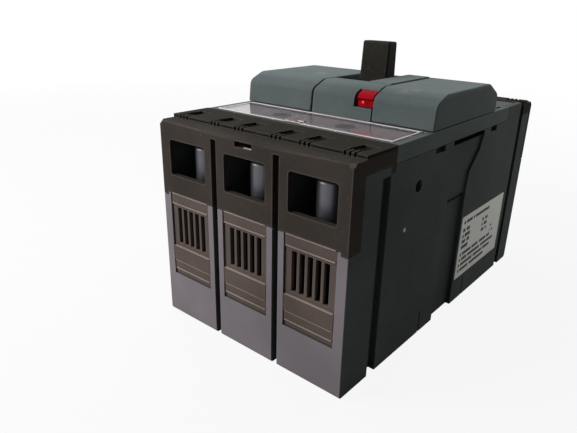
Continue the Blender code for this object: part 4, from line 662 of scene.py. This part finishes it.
def paintLitEndFrames(material):
    # painted light: the frames round both ends are painted a little lighter and greyer, the way the lit end
    # faces look beside the shaded sides
    tree = material.node_tree
    out = tree.nodes.new("ShaderNodeMath")
    out.operation = "ABSOLUTE"
    tree.links.new(whereObject(tree, "Y"), out.inputs[0])
    share = addSpread(tree, out.outputs[0], litFrameTint["start"], litFrameTint["end"])
    recolourBoth(tree, share, litFrameTint["colour"], litFrameTint["second"])


def paleSideSpot(material):
    # one small pale spot in the side
    tree = material.node_tree
    place = tree.nodes.new("ShaderNodeTexCoord")
    away = tree.nodes.new("ShaderNodeVectorMath")
    away.operation = "DISTANCE"
    away.inputs[1].default_value = paleSpot["place"]
    tree.links.new(place.outputs["Object"], away.inputs[0])
    share = addSpread(tree, away.outputs["Value"], paleSpot["outer"], paleSpot["inner"])
    recolourBoth(tree, share, paleSpot["colour"], paleSpot["colour"])


def darkenTroughs(material):
    # painted shade: the end covers' tops are painted a little darker, and a painted shadow lies in the floor
    # of their troughs
    tree = material.node_tree
    shade = coverShade
    top = addSpread(tree, whereObject(tree, "Z"), shade["topStart"], shade["topEnd"])
    recolourBoth(tree, top, shade["topShadeColour"], shade["topShadeColour"])
    floor = tree.nodes.new("ShaderNodeMath")
    floor.operation = "COMPARE"
    floor.inputs[1].default_value = shade["floor"]
    floor.inputs[2].default_value = shade["within"]
    tree.links.new(whereObject(tree, "Z"), floor.inputs[0])
    recolourBoth(tree, floor.outputs[0], shade["floorShadowColour"], shade["floorShadowColour"])


def sheenAndScuffTop(material):
    # painted sheen: the highest faces are painted a little lighter, as the reflection of the white
    # surroundings on them, and they carry pale rub marks
    tree = material.node_tree
    scuffs = topSheenAndScuffs
    high = addSpread(tree, whereObject(tree, "Z"), scuffs["start"], scuffs["end"])
    recolourBoth(tree, high, scuffs["sheenTop"], scuffs["sheenTopSecond"])
    marks = addNoise(tree, scuffs["scale"], scuffs["detail"])
    marks.inputs["Roughness"].default_value = scuffs["roughness"]
    few = tree.nodes.new("ShaderNodeMapRange")
    few.inputs["From Min"].default_value = scuffs["fewest"]
    few.inputs["From Max"].default_value = scuffs["most"]
    few.inputs["To Max"].default_value = scuffs["share"]
    tree.links.new(marks.outputs["Fac"], few.inputs["Value"])
    share = addProduct(tree, few.outputs["Result"], high)
    recolourBoth(tree, share, scuffs["colour"], scuffs["colour"])


def makeMaterials():
    made = {finish: mouldedPlastic(*values) for finish, values in plasticFinishes.items()}
    for finish, values in metalFinishes.items():
        made[finish] = plainMetal(*values)
    made["clear"] = clearPlastic("clearLid")
    paintLitEndFrames(made["base"])
    paleSideSpot(made["base"])
    sheenAndScuffTop(made["deck"])
    darkenTroughs(made["endCover"])
    return made


materials = makeMaterials()
placeCamera()
lightStudio()
layFloor()
print("camera, light and materials ready")


def finishPiece(piece, finish, body, nodes=()):
    # its material, the body it moves with and the CAD nodes that it stands for
    piece.data.materials.clear()
    piece.data.materials.append(materials[finish])
    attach(piece, body)
    if nodes:
        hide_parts(*nodes)


# mouldings: each is the CAD solid with its edges rounded as the mould leaves them

edgeSettings = dict(
    housing=0.00035,
    cover=0.0006,
    endCover=0.00035,
    grille=0.00025,
    toggle=0.0006,
    button=0.0004,
    small=0.0002,
)


def dressNode(nodeName, pieceName, finish, body, width, segments=2, shape=None):
    piece = copyNode(nodeName, pieceName)
    if shape:
        shape(piece)
    softenEdges(piece, width, segments)
    finishPiece(piece, finish, body, (nodeName,))


# the load cover's side arms end higher in the photograph, and so do the notches that hold them

armSettings = dict(
    armEnd=0.0545,  # heights of the arms' ends and of the notches' floors in the CAD
    notchFloor=0.0542,
    lift=0.0082,
    inner=0.0485,  # the arms lie outside this distance from the middle
    rear=-0.0810,  # and nearer the load end than this
    frameTop=0.0630,  # the end frames' top, with a seam above it that is narrower in the photograph
    frameRise=0.0010,
    frameRear=0.0860,  # the end frames lie outside this distance from the middle
)

lipSettings = dict(
    height=0.0976,  # where the end covers' faces turn into their tops
    radius=0.0018,
    segments=4,
    straight=0.99,  # least share of an edge's length that runs across the breaker
)


def moveLevel(piece, level, change, wanted):
    # moves the vertices of one level up or down
    pickVertices(piece, lambda place: abs(place.z - level) < meshSettings["near"] and wanted(place))
    bpy.ops.transform.translate(value=(0, 0, change))
    endEdit()


def inArm(place):
    return place.y < armSettings["rear"] and abs(place.x) > armSettings["inner"]


def inEndFrame(place):
    return abs(place.y) > armSettings["frameRear"]


def shapeHousing(piece):
    moveLevel(piece, armSettings["notchFloor"], armSettings["lift"], inArm)
    moveLevel(piece, armSettings["frameTop"], armSettings["frameRise"], inEndFrame)


def onLip(start, end):
    # edges that run across the breaker along the end covers' lips
    middle = (start + end) / 2
    across = abs(start.x - end.x) > lipSettings["straight"] * (start - end).length
    near = meshSettings["near"]
    return across and abs(abs(middle.y) - coverFace) < near and abs(middle.z - lipSettings["height"]) < near


def shapeEndCover(piece):
    moveLevel(piece, armSettings["armEnd"], armSettings["lift"], inArm)
    pickEdges(piece, onLip)
    bpy.ops.mesh.bevel(offset=lipSettings["radius"], segments=lipSettings["segments"], affect="EDGES")
    endEdit()


buttonSettings = dict(
    left=0.0127,  # the CAD button's left side
    near=0.00016,  # how close to it a vertex has to be to count as part of that side
    shift=0.0013,  # how far that side moves in, so that a dark gap shows beside it
    slideTop=0.1072,  # below this the face slides behind the moulding
    bulgeStart=0.1083,
    bulge=0.0013,
    slant=0.3,  # least share of a normal that makes a face one of the front or the top
)


def raiseButton(piece):
    # the upper part of the face bulges out flush with the moulding round it
    button = buttonSettings

    def ofCap(centre, normal):
        return abs(normal.x) < button["slant"] and centre.x > button["left"]

    def onFront(centre, normal):
        return ofCap(centre, normal) and normal.y < -button["slant"]

    def onBulge(centre, normal):
        facing = normal.y < -button["slant"] or normal.z > button["slant"]
        return ofCap(centre, normal) and facing and centre.z > button["bulgeStart"]

    for height in (button["slideTop"], button["bulgeStart"]):
        pickFaces(piece, onFront)
        bpy.ops.mesh.bisect(plane_co=(0, 0, height), plane_no=(0, 0, 1))
    pickFaces(piece, onBulge)
    bpy.ops.transform.shrink_fatten(value=button["bulge"])
    pickVertices(piece, lambda place: abs(place.x - button["left"]) < button["near"])
    bpy.ops.transform.translate(value=(button["shift"], 0, 0))
    endEdit()


def dressMouldings():
    edge = edgeSettings
    dressNode("base_housing", "housingShell", "base", "case", edge["housing"],
              shape=shapeHousing)
    dressNode("main_cover", "deckShell", "deck", "case", edge["cover"])
    for side in ("left", "right"):
        dressNode(f"accessory_cover_{side}", f"accessoryLid_{side}", "deck", "case",
                  edge["cover"], segments=3)
    for end in ends:
        dressNode(f"terminal_cover_{end}", f"endCover_{end}", "endCover", "case",
                  edge["endCover"], shape=shapeEndCover)
        for number in poles:
            dressNode(f"vent_grille_{end}_{number}", f"ventGrille_{end}_{number}", "grille", "case",
                      edge["grille"])
            dressNode(f"terminal_screw_{end}_{number}", f"clampScrew_{end}_{number}", "steel", "case",
                      edge["small"])
    dressNode("toggle_handle", "toggleGrip", "toggle", "toggle", edge["toggle"],
              segments=3)
    dressNode("trip_button", "tripButton", "red", "trip_button", edge["button"],
              segments=3, shape=raiseButton)
    dressNode("clear_cover", "clearLid", "clear", "clear_lid", edge["small"])
    print("mouldings dressed")


buttonSpringSettings = dict(
    foot=0.0993,  # where the spring stands
    travel=0.002,
    smoothAngle=50,
)


def dressButtonSpring():
    # the return spring, a smooth-shaded copy of its CAD node with a mesh of its own
    spring = copyNode("trip_button_spring", "buttonReturnSpring")
    bpy.ops.object.shade_smooth_by_angle(angle=math.radians(buttonSpringSettings["smoothAngle"]))
    finishPiece(spring, "spring", "case", ("trip_button_spring",))
    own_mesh(spring)
    print("button spring dressed")


# pieces behind the openings keep their CAD shape and get their own finish

insideFinishes = dict(
    toggle=["handle_shroud", "trip_bar"],
    panel=["trip_unit_panel"],
    dial=["current_dial", "time_dial"],
    base=["crossbar"],
    steel=["handle_yoke", "mechanism_frame", "handle_pivot_pin"],
    spring=["main_spring_left", "main_spring_right"],
    copper=[f"{piece}_{number}" for piece in ("contact_blade", "load_bar", "line_bar") for number in poles],
    splitter=[f"arc_chute_{end}_{number}" for end in ends for number in poles],
    bimetal=[f"bimetal_{number}" for number in poles],
)


def dressInside():
    for finish, names in insideFinishes.items():
        for name in names:
            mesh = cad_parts[name].data
            mesh.materials.clear()
            mesh.materials.append(materials[finish])
    print("inner pieces finished")


# the bare label on the side, printed with generic bars only

labelSettings = dict(
    proud=0.00003,  # how far the label stands over the side, and how far it reaches into it
    sunk=0.0004,
    front=0.0124,
    back=0.0682,
    bottom=0.0134,
    top=0.0486,
    corner=0.0008,
    cornerSegments=3,
    inkProud=0.00005,
    inkSunk=0.0002,
    inkSoft=0.00004,
)

# rows of print: height and bar height as shares of the label, then the dashes' starts and ends
labelRows = (
    (0.87, 0.050, ((0.05, 0.09), (0.11, 0.24), (0.26, 0.29), (0.31, 0.64))),
    (0.74, 0.060, ((0.05, 0.10), (0.13, 0.20))),
    (0.65, 0.060, ((0.05, 0.08), (0.10, 0.22))),
    (0.56, 0.060, ((0.05, 0.13), (0.16, 0.22))),
    (0.47, 0.060, ((0.05, 0.20),)),
    (0.72, 0.055, ((0.50, 0.54), (0.57, 0.63))),
    (0.63, 0.055, ((0.50, 0.53), (0.55, 0.63))),
    (0.54, 0.055, ((0.50, 0.57), (0.60, 0.63))),
    (0.52, 0.035, ((0.74, 0.78),)),
    (0.43, 0.035, ((0.74, 0.76), (0.79, 0.83))),
    (0.355, 0.052, ((0.05, 0.08), (0.10, 0.30), (0.32, 0.47), (0.50, 0.66), (0.68, 0.76))),
    (0.265, 0.052, ((0.05, 0.08), (0.10, 0.22), (0.24, 0.52), (0.55, 0.86))),
    (0.175, 0.052, ((0.05, 0.08), (0.10, 0.36), (0.39, 0.60), (0.62, 0.80))),
    (0.085, 0.052, ((0.05, 0.08), (0.10, 0.28), (0.31, 0.66))),
)


def makeLabelPlate():
    label = labelSettings
    plate = addBlock("sideLabel", (wall - label["sunk"], label["front"], label["bottom"]),
                     (wall + label["proud"], label["back"], label["top"]))
    # the four short edges at its corners are rounded
    pickEdges(plate, lambda start, end: abs(start.x - end.x) > label["sunk"] / 2)
    bpy.ops.mesh.bevel(offset=label["corner"], segments=label["cornerSegments"], affect="EDGES")
    endEdit()
    finishPiece(plate, "paper", "case")


def printLabel():
    label = labelSettings
    width = label["back"] - label["front"]
    height = label["top"] - label["bottom"]
    bars = []
    for low, tall, dashes in labelRows:
        bottom = label["bottom"] + height * low
        top = bottom + height * tall
        for start, end in dashes:
            front = label["front"] + width * start
            back = label["front"] + width * end
            bars.append(addBlock("bar", (wall - label["inkSunk"], front, bottom),
                                 (wall + label["inkProud"], back, top)))
    inkBars = joinAll(bars, "labelBars")
    softenEdges(inkBars, label["inkSoft"], segments=1)
    finishPiece(inkBars, "ink", "case")


def makeSideLabel():
    makeLabelPlate()
    printLabel()
    print("side label made")


# ridges across the vent grilles, pale as painted highlights along their ledges

ridgeSettings = dict(
    heights=(0.0637, 0.0588, 0.0369, 0.0292, 0.0249),
    tall=0.0005,
    short=0.0005,  # how far a ridge ends from the grille's side
    behind=0.00002,  # and its face behind the cover's
    deep=0.0016,
    soft=0.0002,
)


def makeGrilleRidges():
    # the first grille's ridges are modelled, and the others are copies
    ridge = ridgeSettings
    low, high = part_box("vent_grille_load_1")
    front = ridge["behind"] - coverFace  # the load end is at the negative end of y
    bars = [addBlock("ridge", (low.x + ridge["short"], front, height),
                     (high.x - ridge["short"], front + ridge["deep"], height + ridge["tall"]))
            for height in ridge["heights"]]
    first = joinAll(bars, "grilleRidges_load_1")
    softenEdges(first, ridge["soft"])
    firstCentre = (low.x + high.x) / 2
    ridges = [first]
    for end, turn in (("load", 0.0), ("line", math.pi)):
        for number in poles:
            name = f"grilleRidges_{end}_{number}"
            if name != first.name:
                low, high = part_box(f"vent_grille_{end}_{number}")
                along = (low.x + high.x) / 2 - firstCentre * math.cos(turn)
                ridges.append(copyPiece(first, name, along, turn))
    for piece in ridges:
        finishPiece(piece, "ridge", "case")
    print("grille ridges made")


# dark fills in the sides' slots just under the deck, painted shade where the slots lie in shadow

slotSettings = dict(
    sunk=0.0003,  # how far the dark fill reaches into the side, and how far it stands over it
    proud=0.00002,
    # front, back, bottom and top of each slot
    places=((-0.0105, 0.0228, 0.0897, 0.0916), (-0.0090, 0.0059, 0.0625, 0.0631)),
    soft=0.00008,
)


def makeSideSlots():
    slots = []
    for side in (-1, 1):
        near, far = sorted((side * (wall - slotSettings["sunk"]), side * (wall + slotSettings["proud"])))
        for front, back, bottom, top in slotSettings["places"]:
            slots.append(addBlock("slot", (near, front, bottom), (far, back, top)))
    sideSlots = joinAll(slots, "sideSlots")
    softenEdges(sideSlots, slotSettings["soft"], segments=1)
    finishPiece(sideSlots, "slotShade", "case")
    print("side slots made")


# the clear lid's rim, pale as a painted highlight along its edges, and tab marks

lidSettings = dict(
    halfWidth=0.0486,
    front=-0.0585,
    back=-0.0343,
    low=0.09905,
    high=0.09932,
    rim=0.0011,  # its width
    soft=0.00008,
    # left, right, front and back of the painted highlight mark and of the slit's painted shade on the tab
    mark=(-0.0003, 0.0026, -0.0561, -0.0549),
    slit=(-0.0012, 0.0027, -0.0569, -0.0562),
    tabLow=0.0992,
    tabHigh=0.09968,
    tabSoft=0.0001,
)


def addTabMark(name, sides, finish):
    left, right, front, back = sides
    mark = addBlock(name, (left, front, lidSettings["tabLow"]), (right, back, lidSettings["tabHigh"]))
    softenEdges(mark, lidSettings["tabSoft"], segments=1)
    finishPiece(mark, finish, "clear_lid")


def makeLidRim():
    # a plate whose top and bottom are inset, emptied and bridged into a frame
    lid = lidSettings
    rim = addBlock("lidRimHighlight", (-lid["halfWidth"], lid["front"], lid["low"]),
                   (lid["halfWidth"], lid["back"], lid["high"]))
    pickFaces(rim, lambda centre, normal: abs(normal.z) > meshSettings["level"])
    bpy.ops.mesh.inset(thickness=lid["rim"], depth=0)
    bpy.ops.mesh.delete(type="ONLY_FACE")
    bpy.ops.mesh.select_mode(type="EDGE")
    bpy.ops.mesh.select_all(action="DESELECT")
    bpy.ops.mesh.select_non_manifold()
    bpy.ops.mesh.bridge_edge_loops()
    bpy.ops.mesh.select_all(action="SELECT")
    bpy.ops.mesh.normals_make_consistent(inside=False)
    endEdit()
    softenEdges(rim, lid["soft"], segments=1)
    finishPiece(rim, "rim", "clear_lid")
    # a pale plate as a painted highlight on the tab, and a dark plate as painted shade in its slit
    addTabMark("lidTabHighlight", lid["mark"], "paper")
    addTabMark("lidTabSlitShade", lid["slit"], "ink")
    print("lid rim made")


# scales round the trip unit's dials

dialSettings = dict(
    spacing=0.036,
    y=-0.046,
    proud=0.00003,  # how far the print stands over the panel
    sunk=0.0002,
    ticks=7,
    sweep=270,  # degrees, with the middle of the scale at the back
    middle=90,
    digitEvery=2,
    tickInner=0.0056,
    tickOuter=0.0066,
    tickWidth=0.00028,
    digitRadius=0.0085,
    digitSize=0.0024,
)


def addTick(centre, angle, low, high):
    dial = dialSettings
    tick = addBlock("tick", (dial["tickInner"], -dial["tickWidth"] / 2, low),
                    (dial["tickOuter"], dial["tickWidth"] / 2, high))
    tick.rotation_euler.z = angle
    tick.location = centre
    settle(tick)
    return tick


def addDigit(text, centre, angle, low, high):
    out = Vector((math.cos(angle), math.sin(angle), 0))
    place = centre + out * dialSettings["digitRadius"]
    deselectAll()
    bpy.ops.object.text_add(location=(place.x, place.y, (low + high) / 2))
    digit = bpy.context.object
    digit.data.body = text
    digit.data.size = dialSettings["digitSize"]
    digit.data.align_x = "CENTER"
    digit.data.align_y = "CENTER"
    digit.data.extrude = (high - low) / 2
    useOnly(digit)
    bpy.ops.object.convert(target="MESH")
    settle(bpy.context.object)
    return bpy.context.object


def makeDialScales():
    # the current dial's scale is modelled, and the time dial's is a copy
    dial = dialSettings
    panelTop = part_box("trip_unit_panel")[1].z
    low = panelTop - dial["sunk"]
    high = panelTop + dial["proud"]
    centre = Vector((-dial["spacing"] / 2, dial["y"], 0))
    marks = []
    for step in range(dial["ticks"]):
        turned = dial["sweep"] * step / (dial["ticks"] - 1)
        angle = math.radians(dial["middle"] + dial["sweep"] / 2 - turned)
        marks.append(addTick(centre, angle, low, high))
        if step % dial["digitEvery"] == 0:
            digit = str(step // dial["digitEvery"] + 1)
            marks.append(addDigit(digit, centre, angle, low, high))
    currentScale = joinAll(marks, "currentScale")
    timeScale = copyPiece(currentScale, "timeScale", dial["spacing"])
    for scale in (currentScale, timeScale):
        finishPiece(scale, "ink", "case")
    print("dial scales made")


# a dark dust shield under the back of the toggle's slot, standing on the mechanism's frame

shieldSettings = dict(
    halfWidth=0.0125,
    front=0.0190,
    back=0.0268,
    thick=0.0012,
    lip=0.0012,  # thickness of the lip at its back
    reach=0.0975,  # the lip's top, below the path of the toggle's shroud
    soft=0.0003,
)


def makeDustShield():
    shield = shieldSettings
    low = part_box("mechanism_frame")[1].z
    high = low + shield["thick"]
    lipFront = shield["back"] - shield["lip"]
    plate = addBlock("slotDustShield", (-shield["halfWidth"], shield["front"], low),
                     (shield["halfWidth"], shield["back"], high))
    pickFaces(plate, everyFace)
    bpy.ops.mesh.bisect(plane_co=(0, lipFront, 0), plane_no=(0, 1, 0))
    pickFaces(plate, lambda centre, normal: normal.z > meshSettings["level"] and centre.y > lipFront)
    bpy.ops.mesh.extrude_region_move(TRANSFORM_OT_translate={"value": (0, 0, shield["reach"] - high)})
    endEdit()
    softenEdges(plate, shield["soft"])
    finishPiece(plate, "toggle", "case")
    print("dust shield made")


# small parts that only the picture needs

# a small bump on the button's face, painted light red as a highlight
dotSettings = dict(
    place=(0.0176, -0.0324, 0.1071),
    radius=0.0006,
    segments=16,
    rings=8,
    flat=0.45,  # its thickness as a share of its width
    cut=0.0001,  # behind its middle, and inside the button's face
    exact=0.000001,
    smoothAngle=40,
)

latchSettings = dict(
    low=(0.0002, -0.0899, 0.0936),
    high=(0.0047, -0.0890, 0.0940),
    soft=0.0001,
)


def makeButtonHighlightDot():
    # a flattened ball whose back is cut flat
    lens = dotSettings
    deselectAll()
    bpy.ops.mesh.primitive_uv_sphere_add(segments=lens["segments"], ring_count=lens["rings"],
                                         radius=lens["radius"], location=lens["place"])
    ball = bpy.context.object
    ball.name = "buttonHighlightDot"
    ball.scale.y = lens["flat"]
    settle(ball)
    pickFaces(ball, everyFace)
    bpy.ops.mesh.bisect(plane_co=(0, lens["place"][1] + lens["cut"], 0), plane_no=(0, 1, 0),
                        use_fill=True, clear_outer=True, threshold=lens["exact"])
    endEdit()
    bpy.ops.object.shade_smooth_by_angle(angle=math.radians(lens["smoothAngle"]))
    finishPiece(ball, "dotHighlight", "trip_button")


def makeLatchStrip():
    strip = addBlock("latchStrip", latchSettings["low"], latchSettings["high"])
    softenEdges(strip, latchSettings["soft"], segments=1)
    finishPiece(strip, "pale", "case")


def makeSmallParts():
    makeButtonHighlightDot()
    makeLatchStrip()
    print("small parts made")


dressMouldings()
dressButtonSpring()
dressInside()
makeSideLabel()
makeGrilleRidges()
makeSideSlots()
makeLidRim()
makeDialScales()
makeDustShield()
makeSmallParts()
